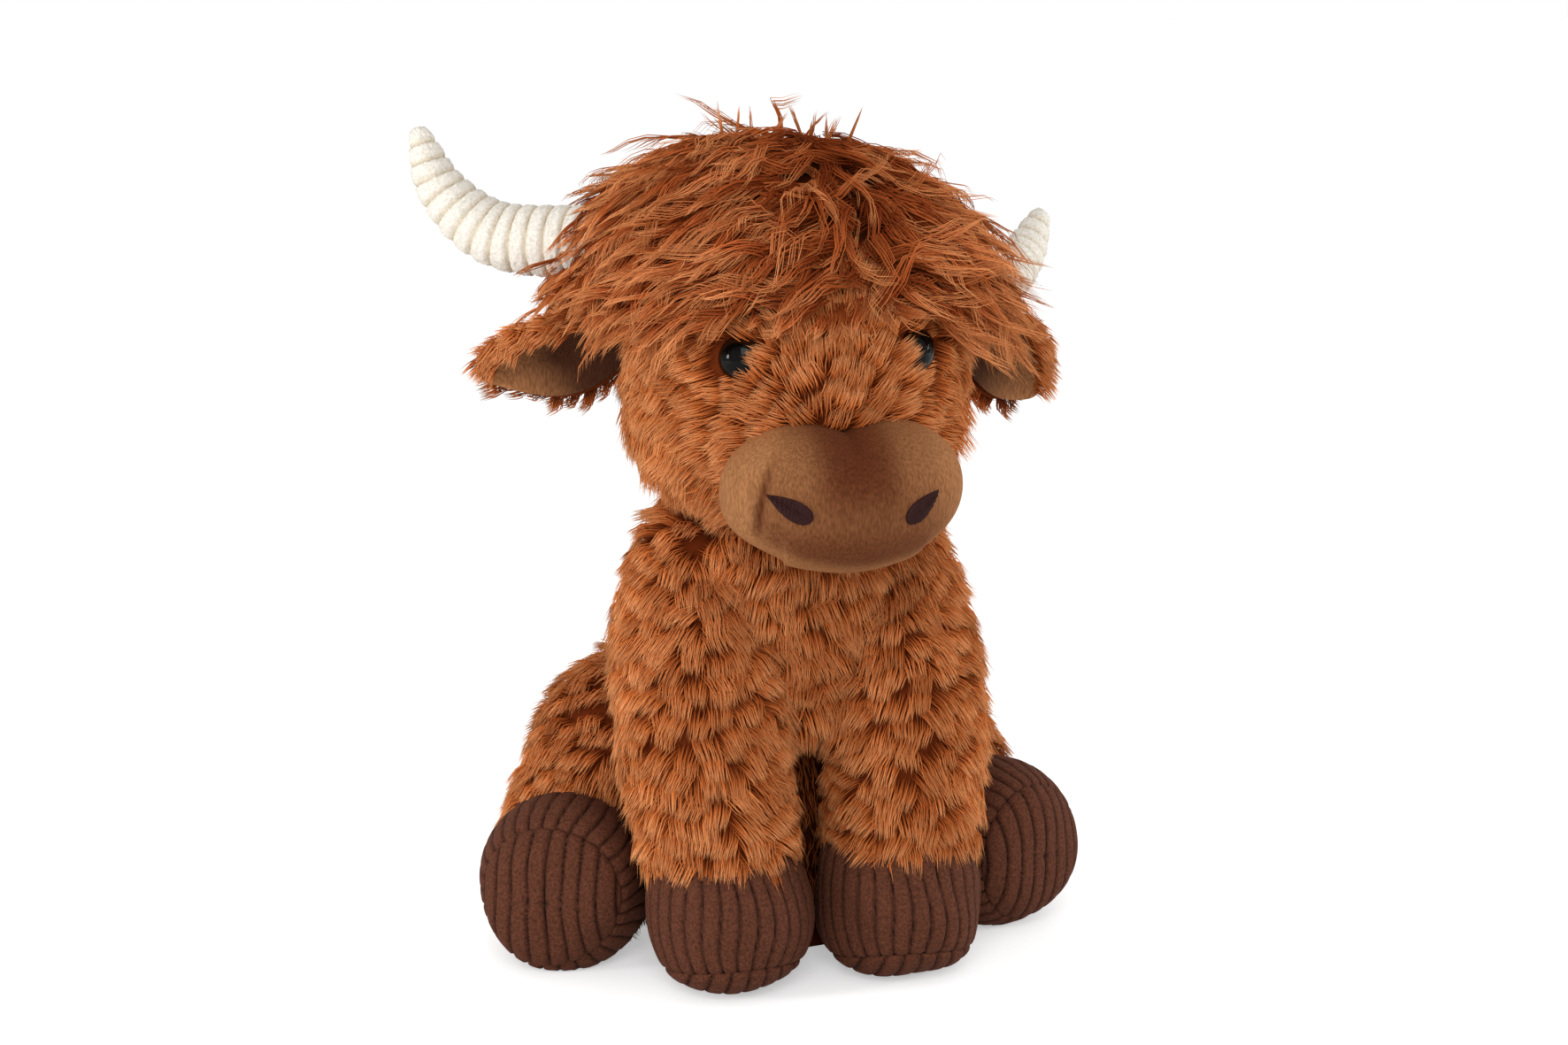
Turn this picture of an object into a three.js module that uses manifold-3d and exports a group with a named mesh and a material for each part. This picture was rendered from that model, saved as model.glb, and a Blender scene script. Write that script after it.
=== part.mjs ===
// A sitting plush yak, in millimetres: +Z is up, the toy faces -Y and its right side is at -X.
// The origin is the middle of the flat panel that it sits on. Fur pieces are modelled to the
// outside of the pile, and every stuffed piece is a cover, open where it is sewn on, over its filling.
import * as THREE from 'three';
import { mergeVertices } from 'three/addons/utils/BufferGeometryUtils.js';
import Module from 'manifold-3d';

const wasm = await Module();
wasm.setup();

// Fits and fabrics: FIT parts two sewn pieces, PLAY clears a piece along its travel
const FIT = 0.3;
const PLAY = 0.9;
const BACKING = 1.5;
const PILE = 7.5;
const CORDUROY = 3;
const VELOUR = 2.5;

// Body
const BODY_HEIGHT = 186;
const SEAT_HALF_WIDTH = 60;
const SEAT_HALF_DEPTH = 51;
const BELLY_HALF_WIDTH = 54;
const BELLY_HALF_DEPTH = 50;
const BELLY_RISE = 84;
const BELLY_FORWARD = 8;
const NECK_RADIUS = 51;
const NECK_FORWARD = 23;
const NECK_OPENING_RADIUS = 19;

// Seat panel and pellet bag
const SEAT_PANEL_INSET = 15;
const SEAT_PANEL_THICKNESS = 7;
const SEAT_PANEL_BEVEL = 2;
const SEAT_SEAM = 8;
const PELLET_BAG_HEIGHT = 30;

// Head
const HEAD_HEIGHT = 126;
const HEAD_HALF_WIDTH = 63;
const HEAD_HALF_DEPTH = 57;
const CHIN_HALF_WIDTH = 61;
const CHIN_HALF_DEPTH = 52;
const CROWN_HALF_WIDTH = 53;
const CROWN_HALF_DEPTH = 48;
const CHIN_DROP = 20;
const HEAD_FORWARD = 35;
const CROWN_FORWARD = 28;
const HEAD_TURN = 20;

// Muzzle and nostrils
const MUZZLE_HALF_WIDTH = 40.5;
const MUZZLE_ASIDE = 2.5;
const MUZZLE_HALF_HEIGHT = 26;
const MUZZLE_HALF_DEPTH = 27;
const MUZZLE_BOW = 13.5;
const MUZZLE_RISE = 18;
const MUZZLE_PROUD = 21;
const MUZZLE_DIP = 4;
const NOSTRIL_LENGTH = 17;
const NOSTRIL_WIDTH = 8;
const NOSTRIL_SPACING = 47;
const NOSTRIL_TILT = 36;
const NOSTRIL_STITCH = 1.4;

// Eyes
const EYE_DIAMETER = 16;
const EYE_DOME = 5;
const EYE_RIM = 1;
const EYE_STEM_DIAMETER = 5;
const EYE_STEM_LENGTH = 12;
const EYE_RISE = 63.5;
const EYE_TURN = 33.5;
const EYE_SPLAY = 32;
const EYE_ROOM = 0.8;
const WASHER_DIAMETER = 13;
const WASHER_THICKNESS = 2;

// Horns: the two are alike, and the left one has slumped
const HORN_BASE_DIAMETER = 28;
const HORN_WAIST_DIAMETER = 25;
const HORN_TIP_DIAMETER = 17;
const HORN_REACH = 90;
const HORN_LIFT = 37;
const HORN_SAG = 3;
const HORN_RISE = 103;
const HORN_SUNK = 12;
const HORN_FLEX = 8;
const HORN_ROOM = 8;
const HORN_SWEEP = { right: 28, left: 42 };
const HORN_DROOP = { right: 0, left: 24 };

// Ears
const EAR_LENGTH = 58;
const EAR_HALF_WIDTH = 21;
const EAR_ROOT_HALF_WIDTH = 13;
const EAR_HALF_THICKNESS = 6;
const EAR_LINING_PROUD = 2.6;
const EAR_LINING_MARGIN = 3;
const EAR_RISE = 68;
const EAR_SUNK = 9;
const EAR_SWEEP = 30;
const EAR_DROOP = { right: 18, left: 36 };
const EAR_FLAP = 20;
const EAR_ROOM = 10;

// Forelock
const LOCK_HALF_SPAN = 82;
const LOCK_HALF_DEPTH = 54;
const LOCK_END_HALF_DEPTH = 27;
const LOCK_HALF_THICKNESS = 22;
const LOCK_CREST = 13;
const LOCK_HANG = 47;
const LOCK_LIFT = 5;

// Front legs
const SHOULDER_RISE = 142;
const SHOULDER_SPREAD = 36;
const SHOULDER_FORWARD = 28;
const SHOULDER_SEAM_DROP = 20;
const SHOULDER_SEAM_TURN = 30;
const SHOULDER_RADIUS = 33;
const FORELEG_RADIUS = 32.5;
const FORELEG_BULGE = 3;
const FORELEG_SWING = 25;
const FORE_HOOF_SPREAD = 32;
const FORE_HOOF_FORWARD = 66;
const FORE_HOOF_RADIUS = 29.5;
const FORE_HOOF_HEIGHT = 44;
const FORE_HOOF_TILT = 12;

// Rear legs
const HIP_RISE = 80;
const HIP_TURN = 46;
const HIP_SEAM_TURN = 68;
const HIP_RADIUS = 41;
const HIP_SUNK = 26;
const THIGH_RADIUS = 37;
const REAR_LEG_SPLAY = 30;
const REAR_HOOF_SPREAD = 86;
const REAR_HOOF_FORWARD = 23;
const REAR_HOOF_RADIUS = 31;
const REAR_HOOF_LENGTH = 46;
const REAR_HOOF_TURN = 28;

// Sleeves and hooves
const SEAM_WALL = 12;
const CUFF_PROUD = 2.5;
const CUFF_TUCK = 15;
const SOLE_DEPTH = 9;
const FLOOR_FLAT = 0.5;

// Tail
const TAIL_RISE = 44;
const TAIL_DROP = 25;
const TAIL_RADIUS = 10;
const TAIL_SWING = 20;
const TUFT_RADIUS = 14;
const TUFT_LENGTH = 34;

const UP = new THREE.Vector3(0, 0, 1);
const DOWN = new THREE.Vector3(0, 0, -1);
const ACROSS = new THREE.Vector3(1, 0, 0);
const BACK = new THREE.Vector3(0, 1, 0);
const SIDES = [{ side: 'right', sign: -1 }, { side: 'left', sign: 1 }];

const fur = BACKING + PILE;
const at = (x, y, z) => new THREE.Vector3(x, y, z);
const radians = THREE.MathUtils.degToRad;

// A stuffed form is a sphere stretched along a path, swelling and tapering with its girths:
// each girth is [share of the length, half width, half depth]. A higher bluntness squares an end.
class StuffedForm {
  constructor({ points, across, girths, blunt, facets, coreFacets }) {
    this.path = new THREE.CatmullRomCurve3(points);
    this.across = across;
    this.blunt = blunt;
    this.facets = facets;
    this.coreFacets = coreFacets;
    const shares = girths.map((girth) => girth[0]);
    const sizes = girths.flatMap((girth) => girth.slice(1));
    this.girth = new THREE.CubicInterpolant(shares, sizes, 2);
  }

  // The point at a polar angle along the form and a turn round it, with skin laid on or taken off.
  surface(polar, turn, skin) {
    const lean = Math.cos(polar);
    const power = 2 / (lean > 0 ? this.blunt[0] : this.blunt[1]);
    const share = (1 - Math.sign(lean) * Math.abs(lean) ** power) / 2;
    const round = Math.max(0, 1 - lean * lean) ** (power / 2);
    const tangent = this.path.getTangentAt(share);
    const wide = this.across.clone().addScaledVector(tangent, -tangent.dot(this.across)).normalize();
    const deep = new THREE.Vector3().crossVectors(tangent, wide);
    const [halfWidth, halfDepth] = this.girth.evaluate(share);
    return this.path.getPointAt(share)
      .addScaledVector(tangent, skin * (2 * share - 1))
      .addScaledVector(wide, (halfWidth + skin) * round * Math.cos(turn))
      .addScaledVector(deep, (halfDepth + skin) * round * Math.sin(turn));
  }

  // The point at a share of the form's length.
  point(share, turn, skin = 0) {
    const power = (share < 0.5 ? this.blunt[0] : this.blunt[1]) / 2;
    const lean = Math.sign(1 - 2 * share) * Math.abs(1 - 2 * share) ** power;
    return this.surface(Math.acos(lean), turn, skin);
  }

  geometry(skin, [sides, rings]) {
    const sphere = new THREE.SphereGeometry(1, sides, rings);
    const spots = sphere.attributes.position;
    for (let i = 0; i < spots.count; i++) {
      const polar = Math.acos(THREE.MathUtils.clamp(spots.getY(i), -1, 1));
      const turn = Math.atan2(spots.getZ(i), spots.getX(i));
      const spot = this.surface(polar, turn, skin);
      spots.setXYZ(i, spot.x, spot.y, spot.z);
    }
    return sphere;
  }

  solid(skin = 0) {
    return solidOf(this.geometry(skin, this.facets));
  }

  core(skin) {
    return solidOf(this.geometry(skin, this.coreFacets));
  }
}

// Solids for cutting and joining
function solidOf(geometry) {
  const bare = new THREE.BufferGeometry();
  bare.setAttribute('position', geometry.attributes.position);
  bare.setIndex(geometry.index);
  const merged = mergeVertices(bare);
  const vertProperties = new Float32Array(merged.attributes.position.array);
  const triVerts = new Uint32Array(merged.index.array);
  return new wasm.Manifold(new wasm.Mesh({ numProp: 3, vertProperties, triVerts }));
}

function without(solid, ...cutters) {
  return cutters.flat().reduce((left, cutter) => left.subtract(cutter), solid);
}

// Everything on the far side of a plane through a point, along its normal.
function beyond(point, normal) {
  const size = 3 * BODY_HEIGHT;
  const block = new THREE.BoxGeometry(size, size, size).translate(0, 0, size / 2);
  block.applyQuaternion(new THREE.Quaternion().setFromUnitVectors(UP, normal.clone().normalize()));
  return solidOf(block.translate(point.x, point.y, point.z));
}

// A neighbour as a moving piece meets it: turned back through the angles of the piece's own travel.
function met(geometry, pivot, axis, travel) {
  return travel.map((degrees) => {
    const turned = geometry.clone().translate(-pivot.x, -pivot.y, -pivot.z);
    turned.applyQuaternion(new THREE.Quaternion().setFromAxisAngle(axis, -radians(degrees)));
    return solidOf(turned.translate(pivot.x, pivot.y, pivot.z));
  });
}

// Groups and meshes: a group that turns keeps its hinge and its range in degrees
function hinged(parent, pivot, axis, range) {
  const group = new THREE.Group();
  group.userData.hinge = { pivot: pivot.toArray(), axis: axis.toArray(), range };
  parent.add(group);
  return group;
}

function piece(group, name, solid, color, roughness = 0.95) {
  const { vertProperties, triVerts } = solid.getMesh();
  const geometry = new THREE.BufferGeometry();
  geometry.setAttribute('position', new THREE.BufferAttribute(new Float32Array(vertProperties), 3));
  geometry.setIndex(new THREE.BufferAttribute(new Uint32Array(triVerts), 1));
  const material = new THREE.MeshStandardMaterial({ color, roughness, metalness: 0 });
  const mesh = new THREE.Mesh(geometry, material);
  mesh.name = name;
  group.add(mesh);
}

const COLOURS = {
  fur: 0x96522d,
  hair: 0x79381c,
  velour: 0x86553a,
  hoof: 0x573427,
  horn: 0xd3cabb,
  nostril: 0x41231f,
  eye: 0x0b0908,
  washer: 0xe6e6e2,
  filling: 0xf4f4f0,
  pellets: 0xd9dde0,
};

const toy = new THREE.Group();

// Body: a pear on a blunt seat, leaning forward to the neck
const bodyForm = new StuffedForm({
  points: [at(0, 0, FIT), at(0, -BELLY_FORWARD, BELLY_RISE), at(0, -NECK_FORWARD, BODY_HEIGHT)],
  across: ACROSS,
  girths: [
    [0, SEAT_HALF_WIDTH, SEAT_HALF_DEPTH],
    [0.25, SEAT_HALF_WIDTH, SEAT_HALF_DEPTH],
    [0.55, BELLY_HALF_WIDTH, BELLY_HALF_DEPTH],
    [1, NECK_RADIUS, NECK_RADIUS],
  ],
  blunt: [4.5, 4.5],
  facets: [20, 10],
  coreFacets: [12, 7],
});
const bodyClear = bodyForm.solid(FIT);
const bodyPassing = bodyForm.geometry(PLAY, bodyForm.facets);
const neck = at(0, -NECK_FORWARD, BODY_HEIGHT);

// The neck as the turning head meets it: the upper body spun about the neck's axis
function neckDome() {
  const segments = 18;
  const widen = 1 / Math.cos(Math.PI / segments);
  const rings = bodyForm.facets[1];
  const profile = [];
  for (let ring = rings / 2; ring <= rings; ring++) {
    const spot = bodyForm.surface((ring * Math.PI) / rings, radians(90), 2 * FIT);
    profile.push(new THREE.Vector2((spot.y - neck.y) * widen, spot.z - neck.z));
  }
  profile[0].x = 0;
  profile[profile.length - 1].x = 0;
  const dome = new THREE.LatheGeometry(profile, segments).rotateX(Math.PI / 2);
  return solidOf(dome.translate(neck.x, neck.y, neck.z));
}

// Seat panel: the oval under the toy, with the pellet bag on it inside the cover
function ovalPanel(halfWidth, halfDepth, bottom, top) {
  const profile = [
    new THREE.Vector2(0, bottom),
    new THREE.Vector2(halfWidth - SEAT_PANEL_BEVEL, bottom),
    new THREE.Vector2(halfWidth, bottom + SEAT_PANEL_BEVEL),
    new THREE.Vector2(halfWidth, top),
    new THREE.Vector2(0, top),
  ];
  const oval = new THREE.LatheGeometry(profile, 20).rotateX(Math.PI / 2);
  return solidOf(oval.scale(1, halfDepth / halfWidth, 1));
}

const panelHalfWidth = SEAT_HALF_WIDTH - SEAT_PANEL_INSET;
const panelHalfDepth = SEAT_HALF_DEPTH - SEAT_PANEL_INSET;
const holeHalfWidth = panelHalfWidth - SEAT_SEAM;
const holeHalfDepth = panelHalfDepth - SEAT_SEAM;
const bagHalfWidth = holeHalfWidth - FIT;
const bagHalfDepth = holeHalfDepth - FIT;
const panelRecess = ovalPanel(
  panelHalfWidth + FIT, panelHalfDepth + FIT, -fur, SEAT_PANEL_THICKNESS + FIT,
);
const seatHole = ovalPanel(holeHalfWidth, holeHalfDepth, -fur, 2 * fur);
const neckHole = solidOf(
  new THREE.CylinderGeometry(NECK_OPENING_RADIUS, NECK_OPENING_RADIUS, 4 * fur, 14)
    .rotateX(Math.PI / 2)
    .translate(neck.x, neck.y, neck.z),
);
const bagFoot = SEAT_PANEL_THICKNESS + FIT;
const bagForm = new StuffedForm({
  points: [at(0, 0, bagFoot), at(0, 0, bagFoot + PELLET_BAG_HEIGHT)],
  across: ACROSS,
  girths: [[0, bagHalfWidth, bagHalfDepth], [1, bagHalfWidth, bagHalfDepth]],
  blunt: [3, 2.2],
  facets: [12, 6],
});

const panel = ovalPanel(panelHalfWidth, panelHalfDepth, 0, SEAT_PANEL_THICKNESS);
const bodyCover = without(bodyForm.solid(), bodyForm.core(-fur), panelRecess, seatHole, neckHole);
const bodyFilling = without(bodyForm.core(-fur - FIT), bagForm.solid(FIT));
piece(toy, 'seat_panel', panel, COLOURS.fur);
piece(toy, 'body_cover', bodyCover, COLOURS.fur);
piece(toy, 'body_filling', bodyFilling, COLOURS.filling);
piece(toy, 'pellet_bag', bagForm.solid(), COLOURS.pellets);

// Head: an upright egg whose chin overlaps the neck
const chin = BODY_HEIGHT - CHIN_DROP;
const headForm = new StuffedForm({
  points: [
    at(0, -HEAD_FORWARD, chin),
    at(0, -HEAD_FORWARD, chin + HEAD_HEIGHT / 2),
    at(0, -CROWN_FORWARD, chin + HEAD_HEIGHT),
  ],
  across: ACROSS,
  girths: [
    [0, CHIN_HALF_WIDTH, CHIN_HALF_DEPTH],
    [0.4, HEAD_HALF_WIDTH, HEAD_HALF_DEPTH],
    [0.6, HEAD_HALF_WIDTH, HEAD_HALF_DEPTH],
    [1, CROWN_HALF_WIDTH, CROWN_HALF_DEPTH],
  ],
  blunt: [3, 2.2],
  facets: [20, 10],
  coreFacets: [12, 7],
});
const headClear = headForm.solid(FIT);
const headPassing = headForm.geometry(PLAY, headForm.facets);
const neckSocket = neckDome();

// Eyes: a domed button on a stem, pushed through the backing and locked by a washer inside
const eyeRadius = EYE_DIAMETER / 2;
const stemRadius = EYE_STEM_DIAMETER / 2;
const washerRadius = WASHER_DIAMETER / 2;
const washerTop = -BACKING - 2 * FIT;
const washerFoot = washerTop - WASHER_THICKNESS;
const domeFoot = FIT + EYE_RIM;
const eyeDome = [0, 0.3, 0.6, 0.85].map((share) => [
  eyeRadius * Math.cos((share * Math.PI) / 2),
  domeFoot + EYE_DOME * Math.sin((share * Math.PI) / 2),
]);
const EYE_OUTLINES = {
  button: [
    [0, -EYE_STEM_LENGTH], [stemRadius, -EYE_STEM_LENGTH], [stemRadius, FIT], [eyeRadius, FIT],
    ...eyeDome, [0, domeFoot + EYE_DOME],
  ],
  washer: [
    [stemRadius + FIT, washerFoot], [washerRadius, washerFoot], [washerRadius, washerTop],
    [stemRadius + FIT, washerTop], [stemRadius + FIT, washerFoot],
  ],
  pocket: [
    [0, -2 * fur], [stemRadius + FIT, -2 * fur], [stemRadius + FIT, 0], [eyeRadius + EYE_ROOM, 0],
    [eyeRadius + EYE_ROOM, 3 * fur], [0, 3 * fur],
  ],
  washerRoom: [
    [0, -EYE_STEM_LENGTH - FIT], [washerRadius + FIT, -EYE_STEM_LENGTH - FIT],
    [washerRadius + FIT, -BACKING], [0, -BACKING],
  ],
};

function eyePart(outline, sign) {
  const turn = radians(-90 + sign * EYE_TURN);
  const place = headForm.point(EYE_RISE / HEAD_HEIGHT, turn, -PILE);
  const heading = at(sign * Math.sin(radians(EYE_SPLAY)), -Math.cos(radians(EYE_SPLAY)), 0);
  const profile = outline.map(([radius, height]) => new THREE.Vector2(radius, height));
  const part = new THREE.LatheGeometry(profile, 10);
  part.applyQuaternion(new THREE.Quaternion().setFromUnitVectors(BACK, heading));
  return solidOf(part.translate(place.x, place.y, place.z));
}

const head = hinged(toy, neck, UP, [-HEAD_TURN, HEAD_TURN]);
const eyeHoles = SIDES.flatMap(({ sign }) => (
  [eyePart(EYE_OUTLINES.pocket, sign), eyePart(EYE_OUTLINES.washerRoom, sign)]));
const headCover = without(headForm.solid(), headForm.core(-fur), neckSocket, neckHole, eyeHoles);
const headFilling = without(headForm.core(-fur - FIT), neckSocket, eyeHoles);
piece(head, 'head_cover', headCover, COLOURS.fur);
piece(head, 'head_filling', headFilling, COLOURS.filling);
SIDES.forEach(({ side, sign }) => {
  piece(head, `eye_${side}`, eyePart(EYE_OUTLINES.button, sign), COLOURS.eye, 0.08);
  piece(head, `eye_washer_${side}`, eyePart(EYE_OUTLINES.washer, sign), COLOURS.washer, 0.5);
});

// Muzzle: a bean of two soft lobes across the face
const muzzleHeight = chin + MUZZLE_RISE;
const muzzleFront = headForm.point(MUZZLE_RISE / HEAD_HEIGHT, radians(-90)).y - MUZZLE_PROUD;
const muzzleForm = new StuffedForm({
  points: [-1, -0.5, 0, 0.5, 1].map((share) => at(
    MUZZLE_ASIDE + share * MUZZLE_HALF_WIDTH,
    muzzleFront + MUZZLE_HALF_DEPTH - MUZZLE_BOW * (1 - share * share),
    muzzleHeight - (MUZZLE_DIP / 2) * Math.cos(share * 2 * Math.PI),
  )),
  across: UP,
  girths: [
    [0, MUZZLE_HALF_HEIGHT - MUZZLE_DIP / 2, MUZZLE_HALF_DEPTH - MUZZLE_DIP],
    [0.3, MUZZLE_HALF_HEIGHT, MUZZLE_HALF_DEPTH],
    [0.5, MUZZLE_HALF_HEIGHT - MUZZLE_DIP / 2, MUZZLE_HALF_DEPTH],
    [0.7, MUZZLE_HALF_HEIGHT, MUZZLE_HALF_DEPTH],
    [1, MUZZLE_HALF_HEIGHT - MUZZLE_DIP / 2, MUZZLE_HALF_DEPTH - MUZZLE_DIP],
  ],
  blunt: [2.3, 2.3],
  facets: [14, 10],
  coreFacets: [10, 8],
});
const muzzleCover = without(
  muzzleForm.solid(), muzzleForm.core(-VELOUR), headClear, neckSocket,
);
const muzzleFilling = without(muzzleForm.core(-VELOUR - FIT), headClear, neckSocket);
piece(head, 'muzzle_cover', muzzleCover, COLOURS.velour);
piece(head, 'muzzle_filling', muzzleFilling, COLOURS.filling);

// Nostrils: satin-stitched ovals that lie on the front of the muzzle
const stitches = muzzleForm.solid(FIT + NOSTRIL_STITCH).subtract(muzzleForm.solid(FIT));
SIDES.forEach(({ side, sign }) => {
  const oval = new THREE.CylinderGeometry(1, 1, 2 * MUZZLE_HALF_DEPTH, 12);
  oval.scale(NOSTRIL_LENGTH / 2, 1, NOSTRIL_WIDTH / 2);
  oval.rotateY(-sign * radians(NOSTRIL_TILT));
  oval.translate((sign * NOSTRIL_SPACING) / 2, muzzleFront - MUZZLE_BOW, muzzleHeight);
  piece(head, `nostril_${side}`, solidOf(oval).intersect(stitches), COLOURS.nostril);
});

// Horns: corduroy tapers that lie out from the head and curl up
const horns = SIDES.map(({ side, sign }) => {
  const sweep = radians(HORN_SWEEP[side]);
  const droop = radians(HORN_DROOP[side]);
  const root = headForm.point(HORN_RISE / HEAD_HEIGHT, sign > 0 ? 0 : Math.PI);
  const along = (out, up) => {
    const reach = out * Math.cos(droop) + up * Math.sin(droop);
    const rise = up * Math.cos(droop) - out * Math.sin(droop);
    return root.clone().add(at(sign * reach * Math.cos(sweep), reach * Math.sin(sweep), rise));
  };
  const form = new StuffedForm({
    points: [
      along(-HORN_SUNK, 0),
      along(HORN_REACH * 0.4, -HORN_SAG),
      along(HORN_REACH * 0.7, 0),
      along(HORN_REACH * 0.9, HORN_LIFT * 0.4),
      along(HORN_REACH, HORN_LIFT),
    ],
    across: UP,
    girths: [
      [0, HORN_BASE_DIAMETER / 2, HORN_BASE_DIAMETER / 2],
      [0.5, HORN_WAIST_DIAMETER / 2, HORN_WAIST_DIAMETER / 2],
      [1, HORN_TIP_DIAMETER / 2, HORN_TIP_DIAMETER / 2],
    ],
    blunt: [3, 2.5],
    facets: [10, 10],
    coreFacets: [8, 8],
  });
  return { side, form, root, axis: at(Math.sin(sweep), -sign * Math.cos(sweep), 0) };
});
horns.forEach(({ side, form, root, axis }) => {
  const seat = [headClear, ...met(headPassing, root, axis, [-HORN_FLEX, HORN_FLEX])];
  const horn = hinged(head, root, axis, [-HORN_FLEX, HORN_FLEX]);
  piece(horn, `horn_${side}`, without(form.solid(), form.core(-CORDUROY), seat), COLOURS.horn);
  piece(horn, `horn_filling_${side}`, without(form.core(-CORDUROY - FIT), seat), COLOURS.filling);
});

// Ears: a furry leaf with a velour lining on its front
const ears = SIDES.map(({ side, sign }) => {
  const sweep = radians(EAR_SWEEP);
  const droop = radians(EAR_DROOP[side]);
  const root = headForm.point(EAR_RISE / HEAD_HEIGHT, sign > 0 ? 0 : Math.PI);
  const level = at(sign * Math.cos(sweep), Math.sin(sweep), 0);
  const outward = level.multiplyScalar(Math.cos(droop)).addScaledVector(UP, -Math.sin(droop));
  const face = at(sign * Math.sin(sweep), -Math.cos(sweep), -0.5).normalize();
  const across = new THREE.Vector3().crossVectors(face, outward).normalize();
  const leaf = (shift, margin, halfThickness) => new StuffedForm({
    points: [-EAR_SUNK, EAR_LENGTH / 2, EAR_LENGTH - margin].map((reach) => root.clone()
      .addScaledVector(outward, reach)
      .addScaledVector(face, shift)),
    across,
    girths: [
      [0, EAR_ROOT_HALF_WIDTH - margin, halfThickness],
      [0.45, EAR_HALF_WIDTH - margin, halfThickness],
      [1, EAR_ROOT_HALF_WIDTH - margin, halfThickness],
    ],
    blunt: [2.4, 2],
    facets: [10, 8],
  });
  return {
    side,
    root,
    axis: across.clone().multiplyScalar(-sign),
    back: leaf(0, 0, EAR_HALF_THICKNESS),
    lining: leaf(EAR_LINING_PROUD, EAR_LINING_MARGIN, EAR_HALF_THICKNESS),
  };
});
ears.forEach(({ side, root, axis, back, lining }) => {
  const seat = [headClear, ...met(headPassing, root, axis, [-EAR_FLAP, EAR_FLAP])];
  const ear = hinged(head, root, axis, [-EAR_FLAP, EAR_FLAP]);
  piece(ear, `ear_${side}`, without(back.solid(), seat), COLOURS.fur);
  piece(ear, `ear_lining_${side}`, without(lining.solid(), back.solid(FIT), seat), COLOURS.velour);
});

// Forelock: an arch of long hair over the crown, fuller on the right, parted round the horns and clear
// of the ears
const crest = chin + HEAD_HEIGHT + LOCK_CREST - LOCK_HALF_THICKNESS;
const lockForm = new StuffedForm({
  points: [-1, -0.62, 0, 0.62, 1].map((share) => at(
    share * LOCK_HALF_SPAN, -CROWN_FORWARD,
    crest - LOCK_HANG * Math.abs(share) ** 2.2 + LOCK_LIFT * Math.max(0, -share),
  )),
  across: BACK,
  girths: [
    [0, LOCK_END_HALF_DEPTH, LOCK_HALF_THICKNESS],
    [0.25, LOCK_HALF_DEPTH, LOCK_HALF_THICKNESS],
    [0.75, LOCK_HALF_DEPTH, LOCK_HALF_THICKNESS],
    [1, LOCK_END_HALF_DEPTH, LOCK_HALF_THICKNESS],
  ],
  blunt: [2.3, 2.3],
  facets: [14, 12],
});
const hornRoom = horns.map(({ form }) => form.core(HORN_ROOM));
const earRoom = ears.map(({ back }) => back.solid(EAR_ROOM));
piece(head, 'forelock', without(lockForm.solid(), headClear, hornRoom, earRoom), COLOURS.hair);

// A leg and its hoof: a fur sleeve, closed against the body and open at the cuff, then corduroy from
// there to the sole seam, and the sole
function legPieces(group, name, side, { leg, hoof, cuff, seam, heading, socket }) {
  const floor = beyond(at(0, 0, 0), DOWN);
  const pastCuff = beyond(cuff, heading);
  const beforeCuff = beyond(cuff.clone().addScaledVector(heading, FIT), heading.clone().negate());
  const pastSeam = beyond(seam, heading);
  const beforeSeam = beyond(seam.clone().addScaledVector(heading, FIT), heading.clone().negate());
  const inside = (gap) => without(
    leg.core(-fur - gap).add(hoof.core(-CORDUROY - gap)),
    beyond(at(0, 0, CORDUROY + gap), DOWN),
    bodyForm.core(SEAM_WALL + gap),
  );
  const cavity = inside(0);
  const sleeve = without(leg.solid(), cavity, pastCuff, socket, floor);
  const upper = without(hoof.solid(), cavity, beforeCuff, pastSeam, socket, floor);
  const sole = without(hoof.solid(), cavity, beforeSeam, socket, floor);
  piece(group, `${name}_leg_${side}`, sleeve, COLOURS.fur);
  piece(group, `${name}_hoof_${side}`, upper, COLOURS.hoof);
  piece(group, `${name}_sole_${side}`, sole, COLOURS.hoof);
  piece(group, `${name}_leg_filling_${side}`, inside(FIT), COLOURS.filling);
}

function hoofForm(cuff, toe, heading, radius) {
  return new StuffedForm({
    points: [cuff.clone().addScaledVector(heading, -CUFF_TUCK), toe],
    across: ACROSS,
    girths: [[0, radius, radius], [1, radius, radius]],
    blunt: [2.6, 3],
    facets: [14, 8],
    coreFacets: [10, 6],
  });
}

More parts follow.
